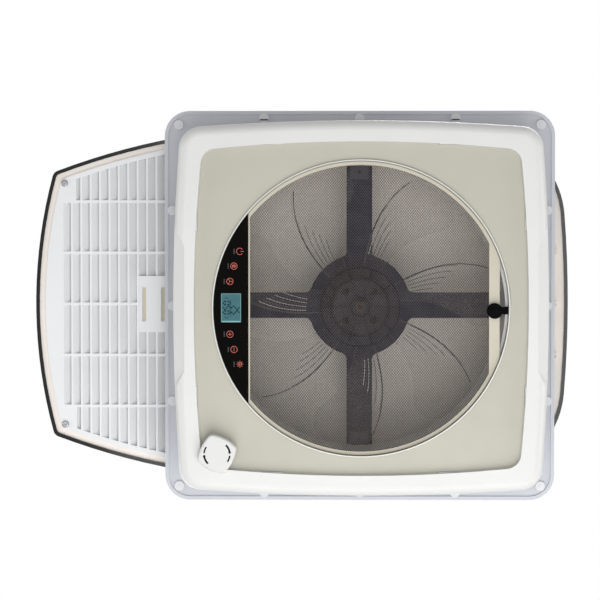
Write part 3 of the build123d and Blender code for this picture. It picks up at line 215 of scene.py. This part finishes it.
moulded_looks = {
    "base_plastic": dict(colour=(0.54, 0.56, 0.60), roughness=0.36, variation=0.01, patch=6),
    "trim_white": dict(colour=(0.70, 0.70, 0.69), roughness=0.38, variation=0.012, grain=1800),
    "plate_beige": dict(colour=(0.475, 0.465, 0.39), roughness=0.42, variation=0.02, grain=3000, patch=9),
    "frame_cream": dict(colour=(0.56, 0.525, 0.43), roughness=0.45, variation=0.03),
    "mesh_dark": dict(colour=(0.115, 0.100, 0.090), roughness=0.55, variation=0.2, patch=60,
                      Specular_IOR_Level=0.1),
    "catch_black": dict(colour=(0.0015, 0.0012, 0.0018), roughness=0.35, variation=0.2,
                        Specular_IOR_Level=0.03),
    "panel_black": dict(colour=(0.0016, 0.0012, 0.001), roughness=0.14, variation=0.2,
                        grain_depth=0.000004, Specular_IOR_Level=0.02),
    "lcd_teal": dict(colour=(0.058, 0.155, 0.175), roughness=0.2, variation=0.08, patch=90,
                     Specular_IOR_Level=0.05),
    "housing_black": dict(colour=(0.018, 0.018, 0.02), roughness=0.5, variation=0.1),
    "bracket_navy": dict(colour=bracket_colour, roughness=0.5, variation=0.12, patch=35,
                         Specular_IOR_Level=0.12),
    "motor_metal": dict(colour=(0.018, 0.020, 0.034), roughness=0.42, variation=0.12, patch=40,
                        Specular_IOR_Level=0.15),
    "screw_black": dict(colour=(0.012, 0.012, 0.015), roughness=0.4, variation=0.2, patch=80,
                        Metallic=0.6),
    "lid_black": dict(colour=(0.0045, 0.0045, 0.005), roughness=0.16, variation=0.2, grain=700,
                      grain_depth=0.00001, Specular_IOR_Level=0.35, Coat_Weight=0.3),
    "lid_cream": dict(colour=(0.86, 0.80, 0.74), roughness=0.42, variation=0.02),
    "grille_white": dict(colour=(0.79, 0.80, 0.81), roughness=0.36, variation=0.012),
    "rubber_black": dict(colour=(0.02, 0.02, 0.02), roughness=0.75, variation=0.15, grain=1500),
    "gearbox_grey": dict(colour=(0.27, 0.28, 0.30), roughness=0.5, variation=0.06, patch=70),
    "acetal_white": dict(colour=(0.74, 0.74, 0.72), roughness=0.35, variation=0.03),
    "knob_white": dict(colour=(0.66, 0.66, 0.65), roughness=0.34, variation=0.012),
    "shroud_white": dict(colour=(0.74, 0.73, 0.71), roughness=0.4, variation=0.03),
    "blade_smoke": dict(colour=(0.50, 0.45, 0.41), roughness=0.3, variation=0.06, grain=1400,
                        grain_depth=0.000006, patch=30, Specular_IOR_Level=0.25),
    "label_grey": dict(colour=(0.055, 0.055, 0.055), roughness=0.4, variation=0.2),
    "display_ink": dict(colour=(0.004, 0.020, 0.030), roughness=0.3, variation=0.1,
                        Specular_IOR_Level=0.05),
    "mark_black": dict(colour=(0.002, 0.002, 0.002), roughness=0.4, variation=0.2,
                       Specular_IOR_Level=0.03),
    # Painted shade for the clear hub's moulded lines and the motor's port hollows
    "hub_painted_shade": dict(colour=(0.004, 0.004, 0.008), roughness=0.5, variation=0.2,
                          Specular_IOR_Level=0.05),
    # Painted shade and painted highlight lines on the clear blades' edges and ribs
    "blade_edge_painted_shade": dict(colour=(0.030, 0.027, 0.027), roughness=0.4, variation=0.15),
    "blade_rib_painted_highlight": dict(colour=(0.80, 0.78, 0.76), roughness=0.3, variation=0.1),
    "slot_cream": dict(colour=(0.62, 0.57, 0.44), roughness=0.45, variation=0.03),
    # Painted highlight along the opening's edge
    "rim_white": dict(colour=(0.70, 0.70, 0.67), roughness=0.35, variation=0.01),
    "boss_white": dict(colour=(0.68, 0.69, 0.71), roughness=0.35, variation=0.01),
    # Painted shade inside the clip slots
    "clip_slot_painted_shade": dict(colour=(0.02, 0.02, 0.022), roughness=0.5, variation=0.2),
    "floor_pale": dict(colour=(0.80, 0.80, 0.80), roughness=0.7, variation=0.01, grain=400, patch=2),
}

metal_looks = {
    "screw_steel": dict(colour=(0.42, 0.42, 0.44), roughness=0.35, stretch=(1, 1, 12)),
    "arm_steel": dict(colour=(0.52, 0.52, 0.54), roughness=0.34, stretch=(1, 30, 30)),
    "bush_brass": dict(colour=(0.07, 0.055, 0.045), roughness=0.45, stretch=(30, 30, 400), scale=20),
}

lit_looks = {
    "icon_red": dict(colour=(0.58, 0.12, 0.08), strength=0.18),
    "display_edge": dict(colour=(0.16, 0.36, 0.36), strength=0.05),
}

board_tracks = {
    "Scale": 130,
    "Mortar Size": 0.03,
    "Color1": (0.02, 0.13, 0.06, 1),
    "Color2": (0.025, 0.16, 0.075, 1),
    "Mortar": (0.10, 0.34, 0.14, 1),
}


# Node materials


def start_material(name):
    material = bpy.data.materials.new(name)
    material.use_nodes = True
    tree = material.node_tree
    return material, tree, tree.nodes["Principled BSDF"]


def noise(tree, scale, detail=4, stretch=(1, 1, 1)):
    """A noise value over the object's own coordinates, in metres."""
    place = tree.nodes.new("ShaderNodeTexCoord")
    mapping = tree.nodes.new("ShaderNodeMapping")
    mapping.inputs["Scale"].default_value = stretch
    tree.links.new(place.outputs["Object"], mapping.inputs["Vector"])
    texture = tree.nodes.new("ShaderNodeTexNoise")
    texture.inputs["Scale"].default_value = scale
    texture.inputs["Detail"].default_value = detail
    tree.links.new(mapping.outputs["Vector"], texture.inputs["Vector"])
    return texture.outputs["Fac"]


def axis_distance(tree):
    """The distance from the fan's axis, in metres."""
    place = tree.nodes.new("ShaderNodeTexCoord")
    flat = tree.nodes.new("ShaderNodeMapping")
    flat.inputs["Scale"].default_value = (1, 1, 0)
    tree.links.new(place.outputs["Object"], flat.inputs["Vector"])
    reach = tree.nodes.new("ShaderNodeVectorMath")
    reach.operation = "LENGTH"
    tree.links.new(flat.outputs["Vector"], reach.inputs[0])
    return reach.outputs["Value"]


def spread_to(tree, value, low, high, start=0.3, end=0.7):
    """Stretches a value that runs from start to end so that it runs from low to high."""
    mapped = tree.nodes.new("ShaderNodeMapRange")
    mapped.inputs["From Min"].default_value = start
    mapped.inputs["From Max"].default_value = end
    mapped.inputs["To Min"].default_value = low
    mapped.inputs["To Max"].default_value = high
    tree.links.new(value, mapped.inputs["Value"])
    return mapped.outputs["Result"]


def mix_colours(tree, value, first, second):
    ramp = tree.nodes.new("ShaderNodeValToRGB")
    for element, edge, colour in zip(ramp.color_ramp.elements, tone_edges, (first, second)):
        element.position = edge
        element.color = (*colour, 1)
    tree.links.new(value, ramp.inputs["Fac"])
    return ramp.outputs["Color"]


def bump(tree, shader, value, strength, depth):
    node = tree.nodes.new("ShaderNodeBump")
    node.inputs["Strength"].default_value = strength
    node.inputs["Distance"].default_value = depth
    tree.links.new(value, node.inputs["Height"])
    tree.links.new(node.outputs["Normal"], shader.inputs["Normal"])


def moulded(name, colour, roughness, variation=0.03, grain=2600, grain_depth=0.00004, patch=22,
            **constants):
    """Moulded plastic: faint patches of tone, uneven gloss and a fine spark-eroded grain."""
    material, tree, shader = start_material(name)
    first = [c * (1 - variation) for c in colour]
    second = [min(1, c * (1 + variation)) for c in colour]
    tree.links.new(mix_colours(tree, noise(tree, patch), first, second), shader.inputs["Base Color"])
    dull, shiny = (roughness * share for share in gloss_shares)
    gloss = spread_to(tree, noise(tree, patch * gloss_patch_ratio, detail=6), dull, shiny)
    tree.links.new(gloss, shader.inputs["Roughness"])
    bump(tree, shader, noise(tree, grain, detail=2), grain_strength, grain_depth)
    for socket, value in constants.items():
        shader.inputs[socket.replace("_", " ")].default_value = value
    return material


def metal(name, colour, roughness, stretch=(1, 1, 40), scale=60):
    """Drawn, turned or plated metal with streaks along one way."""
    material, tree, shader = start_material(name)
    streaks = noise(tree, scale, 5, stretch)
    dark_share, light_share = streak_tone_shares
    first = [c * dark_share for c in colour]
    second = [min(1, c * light_share) for c in colour]
    tree.links.new(mix_colours(tree, streaks, first, second), shader.inputs["Base Color"])
    gloss = spread_to(tree, streaks, *(roughness * share for share in streak_gloss_shares))
    tree.links.new(gloss, shader.inputs["Roughness"])
    bump(tree, shader, noise(tree, streak_grain, 3, stretch), streak_grain_strength, fine_depth)
    shader.inputs["Metallic"].default_value = 1
    return material


def lit_print(name, colour, strength):
    """Ink with light behind it."""
    material = moulded(name, colour, roughness=0.4, variation=0.08)
    shader = material.node_tree.nodes["Principled BSDF"]
    shader.inputs["Emission Color"].default_value = (*colour, 1)
    shader.inputs["Emission Strength"].default_value = strength
    return material


def clear_blade(material):
    """Makes plastic clear: nearly so over the hub cup, and denser out along the blades."""
    tree = material.node_tree
    shader = tree.nodes["Principled BSDF"]
    density = spread_to(tree, axis_distance(tree), smoke_hub_alpha, smoke_blade_alpha,
                        hub_cup_radius, smoke_full_radius)
    tree.links.new(density, shader.inputs["Alpha"])


def colour_socket(sockets, name):
    """The colour form of a socket that the Mix node holds once for each kind of value."""
    return next(s for s in sockets if s.name == name and s.type == "RGBA")


def darken_lugs(material):
    """Gives the bracket's lugs, which lie inside the shroud's ring, the bracket's own dark colour."""
    tree = material.node_tree
    shader = tree.nodes["Principled BSDF"]
    white = shader.inputs["Base Color"].links[0].from_socket
    share = spread_to(tree, axis_distance(tree), 0, 1, shroud_radius - lug_edge_blur, shroud_radius)
    blend = tree.nodes.new("ShaderNodeMix")
    blend.data_type = "RGBA"
    tree.links.new(share, blend.inputs["Factor"])
    colour_socket(blend.inputs, "A").default_value = (*bracket_colour, 1)
    tree.links.new(white, colour_socket(blend.inputs, "B"))
    tree.links.new(colour_socket(blend.outputs, "Result"), shader.inputs["Base Color"])


def circuit_board():
    """Green coated board with copper tracks that show as lighter lines."""
    material, tree, shader = start_material("board_green")
    place = tree.nodes.new("ShaderNodeTexCoord")
    tracks = tree.nodes.new("ShaderNodeTexBrick")
    for socket, value in board_tracks.items():
        tracks.inputs[socket].default_value = value
    tree.links.new(place.outputs["Object"], tracks.inputs["Vector"])
    tree.links.new(tracks.outputs["Color"], shader.inputs["Base Color"])
    tree.links.new(spread_to(tree, noise(tree, board_patch), *board_gloss), shader.inputs["Roughness"])
    bump(tree, shader, tracks.outputs["Fac"], track_strength, fine_depth)
    return material


def make_materials():
    """Node materials for the record's slots and for the pieces that are added here."""
    materials = {name: moulded(name, **look) for name, look in moulded_looks.items()}
    materials.update({name: metal(name, **look) for name, look in metal_looks.items()})
    materials.update({name: lit_print(name, **look) for name, look in lit_looks.items()})
    materials["board_green"] = circuit_board()
    darken_lugs(materials["shroud_white"])
    clear_blade(materials["blade_smoke"])
    return materials


def dress_frame(materials):
    """Every carried-over CAD node takes the node material of its record slot."""
    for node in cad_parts.values():
        for place in node.material_slots:
            name = place.material.name.split(".")[0]
            place.material = materials[name]


# Mesh helpers


def finish_piece(name, bm, material, body):
    bmesh.ops.recalc_face_normals(bm, faces=bm.faces)
    mesh = bpy.data.meshes.new(name)
    bm.to_mesh(mesh)
    bm.free()
    mesh.materials.append(material)
    piece = bpy.data.objects.new(name, mesh)
    bpy.context.scene.collection.objects.link(piece)
    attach(piece, body)
    return piece


def closed_prism(bm, lower, upper):
    """Joins two loops of points, in the same order, into a closed solid."""
    bottom = [bm.verts.new(p) for p in lower]
    top = [bm.verts.new(p) for p in upper]
    count = len(bottom)
    bm.faces.new(bottom)
    bm.faces.new(list(reversed(top)))
    for i in range(count):
        j = (i + 1) % count
        bm.faces.new((bottom[j], bottom[i], top[i], top[j]))


def plate(bm, outline, low, high):
    """A flat solid between two levels over an outline on the plan."""
    closed_prism(bm, [(*p, low) for p in outline], [(*p, high) for p in outline])


def disc(bm, centre, radius, low, high):
    plate(bm, [centre + p for p in ring_points(radius)], low, high)


def skin(bm, rings, closed=False):
    """Joins rings of four points into a bar with two ends, or into a loop without ends."""
    followers = rings[1:] + rings[:1] if closed else rings[1:]
    for a, b in zip(rings, followers):
        for k in range(4):
            j = (k + 1) % 4
            bm.faces.new((a[k], a[j], b[j], b[k]))
    if not closed:
        bm.faces.new(list(reversed(rings[0])))
        bm.faces.new(rings[-1])


def ribbon(bm, points, width, low, high, closed=False):
    """A flat printed stroke of even width along points on the plan, with its own thickness."""
    points = [Vector(p) for p in points]
    count = len(points)
    rings = []
    for i, point in enumerate(points):
        before = points[i - 1] if i or closed else point
        after = points[(i + 1) % count] if i < count - 1 or closed else point
        along = (after - before).normalized()
        across = Vector((-along.y, along.x)) * width / 2
        rings.append([bm.verts.new((*(point + side * across), level))
                      for side, level in ((1, low), (-1, low), (-1, high), (1, high))])
    skin(bm, rings, closed)


def ink_levels(face):
    """Print lies half in and half out of its face."""
    return face - print_thickness, face + print_thickness


def polar(radius, turn_deg):
    turn = math.radians(turn_deg)
    return Vector((radius * math.cos(turn), radius * math.sin(turn)))


def arc_points(radius, start_deg, end_deg, steps):
    return [polar(radius, start_deg + (end_deg - start_deg) * i / steps) for i in range(steps + 1)]


def ring_points(radius, steps=28):
    return arc_points(radius, 0, 360 * (steps - 1) / steps, steps - 1)


def plan_centre(low, high):
    return Vector(((low.x + high.x) / 2, (low.y + high.y) / 2))


# Fly screen


def screen_wires(dark):
    """Two crossing layers of fine threads, each cut to the round opening, the chord bar and the strip."""
    low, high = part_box("insect_screen")
    radius = (high.y - low.y) / 2 + wire_seat
    left = low.x - wire_seat
    right = high.x + wire_seat
    middle = (low.z + high.z) / 2
    half = wire_thickness / 2
    bm = bmesh.new()
    for layer, turn_deg in enumerate(wire_turns_deg):
        turn = math.radians(turn_deg)
        along = Vector((math.cos(turn), math.sin(turn)))
        across = Vector((-along.y, along.x))
        level = middle + (layer * 2 - 1) * half
        count = int(radius / wire_pitch)
        for step in range(-count, count + 1):
            offset = step * wire_pitch
            reach = math.sqrt(max(0, radius ** 2 - offset ** 2))
            base = across * offset
            ends = sorted(((left - base.x) / along.x, (right - base.x) / along.x))
            start = max(-reach, ends[0])
            end = min(reach, ends[1])
            if end - start > shortest_wire:
                thread(bm, base + along * start, base + along * end, across * half, level, half)
    screen = finish_piece("screen_threads", bm, dark, "roof_frame")
    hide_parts("insect_screen")


def thread(bm, start, end, side, level, half):
    turns = [math.radians(a) for a in range(0, 360, 360 // wire_sides)]
    corners = [(math.cos(a), math.sin(a)) for a in turns]
    loops = [[(*(p + side * c), level + half * s) for c, s in corners] for p in (start, end)]
    closed_prism(bm, *loops)


# Touch panel print


def straight(*ends):
    """An open stroke between points."""
    return [Vector(p) for p in ends], False


def icon_strokes():
    """Each touch mark as strokes in its own plane: first coordinate along the text, second upwards."""
    r = icon_radius
    ring = (ring_points(r), True)
    leaves = [(arc_points(r * 0.5, a, a + 130, 8), False) for a in (20, 200)]
    power = [(arc_points(r, 125, 415, 24), False), straight((0, r * 0.25), (0, r * 1.3))]
    fan = [ring, (ring_points(r * 0.28, 12), True), *leaves]
    vent = [ring, *(straight((0, 0), p) for p in arc_points(r * 0.9, 90, 330, 2))]
    plus = [ring, straight((-r * 0.55, 0), (r * 0.55, 0)), straight((0, -r * 0.55), (0, r * 0.55))]
    minus = [ring, straight((-r * 0.6, 0), (r * 0.6, 0))]
    rays = [straight(p, p * 1.45) for p in arc_points(r * 0.72, 0, 315, 7)]
    light = [(ring_points(r * 0.55, 20), True), (ring_points(r * 0.16, 10), True), *rays]
    return [power, fan, vent, plus, minus, light]


def icon_centres():
    """Three marks each side of the display, on a circle about the opening's axis."""
    display_low, display_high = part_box("lcd_display")
    middle = (display_low.y + display_high.y) / 2
    turns = [icon_first_deg + icon_step_deg * i for i in (2, 1, 0)]
    turns += [-t for t in reversed(turns)]
    return [Vector((-icon_circle_radius * math.cos(math.radians(t)),
                    middle - icon_circle_radius * math.sin(math.radians(t)))) for t in turns]


def print_stroke(bm, points, centre, width, levels, closed=False):
    """A stroke from a mark's own plane on the panel: text runs along +Y and its top is towards +X."""
    ribbon(bm, [Vector((centre.x + p.y, centre.y + p.x)) for p in points], width, *levels, closed)


def touch_marks(levels, ink):
    bm = bmesh.new()
    for strokes, centre in zip(icon_strokes(), icon_centres()):
        for points, closed in strokes:
            print_stroke(bm, points, centre, icon_stroke, levels, closed)
    finish_piece("touch_marks", bm, ink, "roof_frame")


def touch_labels(levels, grey):
    """A row of plain bars beside each mark."""
    bm = bmesh.new()
    for centre in icon_centres():
        for bar in range(label_bar_count):
            along = (bar - label_bar_count // 2) * label_bar_pitch
            half = label_bar_heights[bar % 2] / 2
            ends = [Vector((along, label_level - half)), Vector((along, label_level + half))]
            print_stroke(bm, ends, centre, label_bar_width, levels)
    finish_piece("touch_labels", bm, grey, "roof_frame")


def panel_print(materials):
    levels = ink_levels(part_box("control_fascia")[0].z)
    touch_marks(levels, materials["icon_red"])
    touch_labels(levels, materials["label_grey"])


def digit_strokes(figure, left):
    """The lit segments of one figure, as strokes with a small gap between them."""
    w, h, gap = digit_width, digit_height / 2, segment_gap
    ends = {
        "a": ((gap, 2 * h), (w - gap, 2 * h)), "g": ((gap, h), (w - gap, h)), "d": ((gap, 0), (w - gap, 0)),
        "b": ((w, h + gap), (w, 2 * h - gap)), "c": ((w, gap), (w, h - gap)),
        "f": ((0, h + gap), (0, 2 * h - gap)), "e": ((0, gap), (0, h - gap)),
    }
    return [[Vector((left + x, y)) for x, y in ends[s]] for s in figure_segments[figure]]


def display_figures(display_low, display_high, ink):
    """Generic figures: two above a line and three below it, with a short arc each side of those."""
    middle = plan_centre(display_low, display_high)
    levels = ink_levels(display_low.z)
    bm = bmesh.new()
    for text, base, start in figure_rows:
        for place, figure in enumerate(text):
            left = (start + place) * digit_pitch + figure_shift
            for stroke in digit_strokes(figure, left):
                points = [Vector((p.x, p.y + base)) for p in stroke]
                print_stroke(bm, points, middle, digit_stroke, levels)
    line = [Vector((side * display_line_half, display_line_level)) for side in (-1, 1)]
    print_stroke(bm, line, middle, display_line_width, levels)
    for side in (-1, 1):
        centre = Vector((side * display_arc_place, display_arc_level))
        facing = 90 - side * 90
        arc = arc_points(display_arc_radius, facing - display_arc_half_deg, facing + display_arc_half_deg,
                         display_arc_steps)
        print_stroke(bm, [centre + p for p in arc], middle, display_arc_width, levels)
    finish_piece("display_figures", bm, ink, "roof_frame")


def display_border(display_low, display_high, glow):
    """A pale line inside the display's edge, wide on one side."""
    x_low, x_high = display_low.x + border_inset, display_high.x - border_inset
    y_low, y_high = display_low.y + border_inset, display_high.y - border_inset
    corners = [(x_low, y_low), (x_high, y_low), (x_high, y_high), (x_low, y_high)]
    bm = bmesh.new()
    for start, end, width in zip(corners, corners[1:] + corners[:1], border_widths):
        ribbon(bm, [start, end], width, *ink_levels(display_low.z))
    finish_piece("display_border", bm, glow, "roof_frame")


def display_print(materials):
    display_low, display_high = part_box("lcd_display")
    display_figures(display_low, display_high, materials["display_ink"])
    display_border(display_low, display_high, materials["display_edge"])


# Knob marks


def knob_marks(ink):
    """Two curved arrows and two dashes round the knob's face."""
    knob_low, knob_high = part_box("lid_knob")
    centre = plan_centre(knob_low, knob_high)
    low, high = ink_levels(knob_low.z)
    bm = bmesh.new()
    for half_turn in (0, 180):
        arc = arc_points(arrow_radius, *(half_turn + turn for turn in arrow_span_deg), arrow_steps)
        ribbon(bm, [centre + p for p in arc], arrow_stroke, low, high)
        dash = arc_points(arrow_radius, *(half_turn + turn for turn in dash_span_deg), dash_steps)
        ribbon(bm, [centre + p for p in dash], dash_stroke, low, high)
        tip = polar(arrow_radius, half_turn + arrow_tip_deg)
        wing_turn = half_turn + arrow_wing_deg
        wings = [polar(arrow_radius + side * arrow_wing_reach, wing_turn) for side in (1, -1)]
        plate(bm, [centre + p for p in (tip, *wings)], low, high)
    finish_piece("knob_arrows", bm, ink, "hand_knob")


# Hub lines and motor ports


def hub_lines(dark):
    """Moulded rings and spokes on the cup's face, drawn as near-black lines of painted shade."""
    low, high = ink_levels(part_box("fan_impeller")[0].z)
    spoke_parts = (
        (hub_ring_radius, hub_rim_radius, outer_spoke_width),
        (hub_spoke_start, hub_ring_radius, inner_spoke_width),
    )
    bm = bmesh.new()
    for radius in (hub_rim_radius, hub_ring_radius, hub_eye_radius):
        ribbon(bm, ring_points(radius, hub_ring_steps), hub_line_width, low, high, True)
    for spoke in range(hub_spoke_count):
        turn = 360 * spoke / hub_spoke_count
        for inner, outer, width in spoke_parts:
            ribbon(bm, [polar(inner, turn), polar(outer, turn)], width, low, high)
    finish_piece("hub_lines", bm, dark, "impeller")


def motor_ports(dark):
    """Dark discs of painted shade for the hollows of the ports in the motor's end, behind the cup."""
    low, high = ink_levels(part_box("motor_can")[0].z + motor_port_rise)
    bm = bmesh.new()
    for turn in motor_port_turns_deg:
        disc(bm, polar(motor_port_circle, turn), motor_port_radius, low, high)
    finish_piece("motor_ports", bm, dark, "roof_frame")


# Grille slots and opening rim


def slot_strips(cream):
    """Cream strips in the two slots of the grille's block."""
    slot_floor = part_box("discharge_grille")[0].z + grille_block_height
    bm = bmesh.new()
    for side in (-1, 1):
        x = slot_strip_place + side * slot_strip_step
        ends = [Vector((x, end * slot_strip_length / 2)) for end in (-1, 1)]
        ribbon(bm, ends, slot_strip_width, slot_floor - bead_stand, slot_floor + print_thickness)
    finish_piece("slot_strips", bm, cream, "lid")


def opening_rim(white):
    """The bead round the face plate's opening, coloured pale as a painted highlight along its edge."""
    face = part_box("face_plate")[0].z
    bm = bmesh.new()
    ribbon(bm, ring_points(rim_radius, rim_steps), rim_width, face - bead_stand, face + bead_sink, True)
    finish_piece("opening_rim", bm, white, "roof_frame")


# Flange bosses and clip slots


def flange_bosses(cap):
    """Moulded caps over the roof screws' places, with a small pip in the middle of each."""
    corner, side, step = corner_boss_place, side_boss_place, side_boss_step
    places = [(x, y) for x in (-corner, corner) for y in (-corner, corner)]
    places += [(x, y) for y in (-side, side) for x in (-step, 0, step)]
    places += [(x, y) for x in (-side, side) for y in (-step, 0, step)]
    bm = bmesh.new()
    for place in places:
        disc(bm, Vector(place), boss_radius, -boss_height, boss_height)
        disc(bm, Vector(place), boss_pip_radius, -2 * boss_height, 0)
    finish_piece("flange_bosses", bm, cap, "roof_frame")


def clip_slots(dark):
    """Two dark bars of painted shade for the clip slots' hollows, across caps of one side."""
    bm = bmesh.new()
    for x in (-side_boss_step, side_boss_step):
        ends = [Vector((x + end * clip_length / 2, -side_boss_place + clip_inset)) for end in (-1, 1)]
        ribbon(bm, ends, clip_width, -3 * boss_height, -boss_height)
    finish_piece("clip_slots", bm, dark, "roof_frame")


# Lines on the blades


def blade_lines(dark, light):
    """A rolled leading edge, a trailing edge and a fan of fine ribs on each blade's lower face, coloured as
    painted shade lines and painted highlight lines where the clear blade bends light.
    """
    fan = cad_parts["fan_impeller"]
    tree = BVHTree.FromPolygons([v.co for v in fan.data.vertices], [p.vertices for p in fan.data.polygons])
    trailing_sweep_deg = blade_sweep_deg + blade_tip_deg - blade_root_deg
    shade_lines, highlight_lines = bmesh.new(), bmesh.new()
    for blade in range(blade_count):
        start_deg = blade_first_deg + blade * 360 / blade_count
        lay_line(shade_lines, tree, start_deg + leading_edge_inset_deg, blade_sweep_deg, blade_root_radius,
                 1.0, leading_edge_width)
        lay_line(shade_lines, tree, start_deg + blade_root_deg - trailing_edge_inset_deg, trailing_sweep_deg,
                 blade_root_radius, trailing_edge_share, rib_width)
        for rib in range(rib_count):
            # Odd ribs are painted highlights; the edges and even ribs are painted shade lines
            target = highlight_lines if rib % 2 else shade_lines
            lay_line(target, tree, start_deg + rib_first_deg + rib * rib_step_deg, blade_sweep_deg,
                     bracket_edge_radius, rib_first_share - rib_share_step * rib, rib_width)
    finish_piece("blade_edge_shade_lines", shade_lines, dark, "impeller")
    finish_piece("blade_rib_highlights", highlight_lines, light, "impeller")


def swept_points(tree, start_deg, sweep_deg, root, share):
    """Points along a swept line, each on the surface that a ray from below meets."""
    steps = max(blade_line_least_steps, int(blade_line_steps * share))
    points = []
    for i in range(steps + 1):
        t = share * i / steps
        turn_deg = start_deg + sweep_deg * t - 4 * blade_bow_deg * t * (1 - t)
        spot = polar(root + (blade_tip_radius - root) * t, turn_deg)
        hit = tree.ray_cast(Vector((*spot, below_fan_level)), Vector((0, 0, 1)))[0]
        if hit is None:
            break
        points.append(hit)
    return points


def lay_line(bm, tree, start_deg, sweep_deg, root, share, width):
    """A thin bead along a swept line on the blade."""
    points = swept_points(tree, start_deg, sweep_deg, root, share)
    if len(points) < blade_line_least_points:
        return
    lift = Vector((0, 0, -width * bead_lift_share))
    sink = Vector((0, 0, width * bead_depth_share))
    rings = []
    for i, point in enumerate(points):
        along = (points[min(i + 1, len(points) - 1)] - points[max(i - 1, 0)]).normalized()
        across = along.cross(Vector((0, 0, 1))).normalized() * width / 2
        crown = across * bead_crown_share
        offsets = (across + sink, crown + lift, -crown + lift, -across + sink)
        rings.append([bm.verts.new(point + offset) for offset in offsets])
    skin(bm, rings)


# Stage, light and camera


def set_world():
    """White where it is seen, directly, in gloss or through clear pieces, and dimmer as diffuse light."""
    world = bpy.data.worlds.new("studio")
    bpy.context.scene.world = world
    world.use_nodes = True
    tree = world.node_tree
    background = tree.nodes["Background"]
    background.inputs["Color"].default_value = (1, 1, 1, 1)
    path = tree.nodes.new("ShaderNodeLightPath")
    seen = path.outputs["Is Camera Ray"]
    for other in ("Is Glossy Ray", "Is Transmission Ray"):
        either = tree.nodes.new("ShaderNodeMath")
        either.operation = "MAXIMUM"
        tree.links.new(seen, either.inputs[0])
        tree.links.new(path.outputs[other], either.inputs[1])
        seen = either.outputs[0]
    level = tree.nodes.new("ShaderNodeMapRange")
    level.inputs["To Min"].default_value = world_diffuse_level
    level.inputs["To Max"].default_value = world_seen_level
    tree.links.new(seen, level.inputs["Value"])
    tree.links.new(level.outputs["Result"], background.inputs["Strength"])


def add_lamp(name, place, size, power):
    """A round soft lamp that faces the part."""
    lamp = bpy.data.lights.new(name, "AREA")
    lamp.shape = "DISK"
    lamp.size = size
    lamp.energy = power
    holder = bpy.data.objects.new(name, lamp)
    holder.location = place
    holder.rotation_euler = (Vector((0, 0, 0)) - Vector(place)).to_track_quat("-Z", "Y").to_euler()
    holder.visible_camera = False
    bpy.context.scene.collection.objects.link(holder)


def add_floor(pale):
    """A plain pale floor at a caravan's standing height below the ceiling."""
    bm = bmesh.new()
    bmesh.ops.create_grid(bm, x_segments=floor_cells, y_segments=floor_cells, size=floor_half_side)
    mesh = bpy.data.meshes.new("floor")
    bm.to_mesh(mesh)
    bm.free()
    mesh.materials.append(pale)
    floor = bpy.data.objects.new("floor", mesh)
    floor.location = (0, 0, floor_level)
    bpy.context.scene.collection.objects.link(floor)


def add_camera():
    """Looks up from below: the rays meet the photograph's pixels, with part of the framing by lens shift."""
    camera = bpy.data.cameras.new("camera")
    camera.sensor_width = sensor_width
    camera.lens = focal_pixels / photo_side * sensor_width
    camera.shift_y = (aim_pixel[1] - photo_side / 2) / photo_side
    camera.clip_start = clip_near
    camera.clip_end = clip_far
    holder = bpy.data.objects.new("camera", camera)
    forward = Vector(((aim_pixel[0] - axis_pixel[0]) / focal_pixels,
                      (aim_pixel[1] - axis_pixel[1]) / focal_pixels, 1)).normalized()
    right = (Vector((1, 0, 0)) - forward * forward.x).normalized()
    up = right.cross(forward)
    turn = Matrix((right, up, -forward)).transposed()
    holder.matrix_world = Matrix.Translation(camera_place) @ turn.to_4x4()
    bpy.context.scene.collection.objects.link(holder)
    bpy.context.scene.camera = holder


materials = make_materials()
dress_frame(materials)
screen_wires(materials["mesh_dark"])
panel_print(materials)
display_print(materials)
knob_marks(materials["mark_black"])
blade_lines(materials["blade_edge_painted_shade"], materials["blade_rib_painted_highlight"])
flange_bosses(materials["boss_white"])
clip_slots(materials["clip_slot_painted_shade"])
hub_lines(materials["hub_painted_shade"])
motor_ports(materials["hub_painted_shade"])
slot_strips(materials["slot_cream"])
opening_rim(materials["rim_white"])
set_world()
add_floor(materials["floor_pale"])
for name, lamp in lamps.items():
    add_lamp(name, **lamp)
add_camera()

scene = bpy.context.scene
scene.view_settings.view_transform = "Standard"
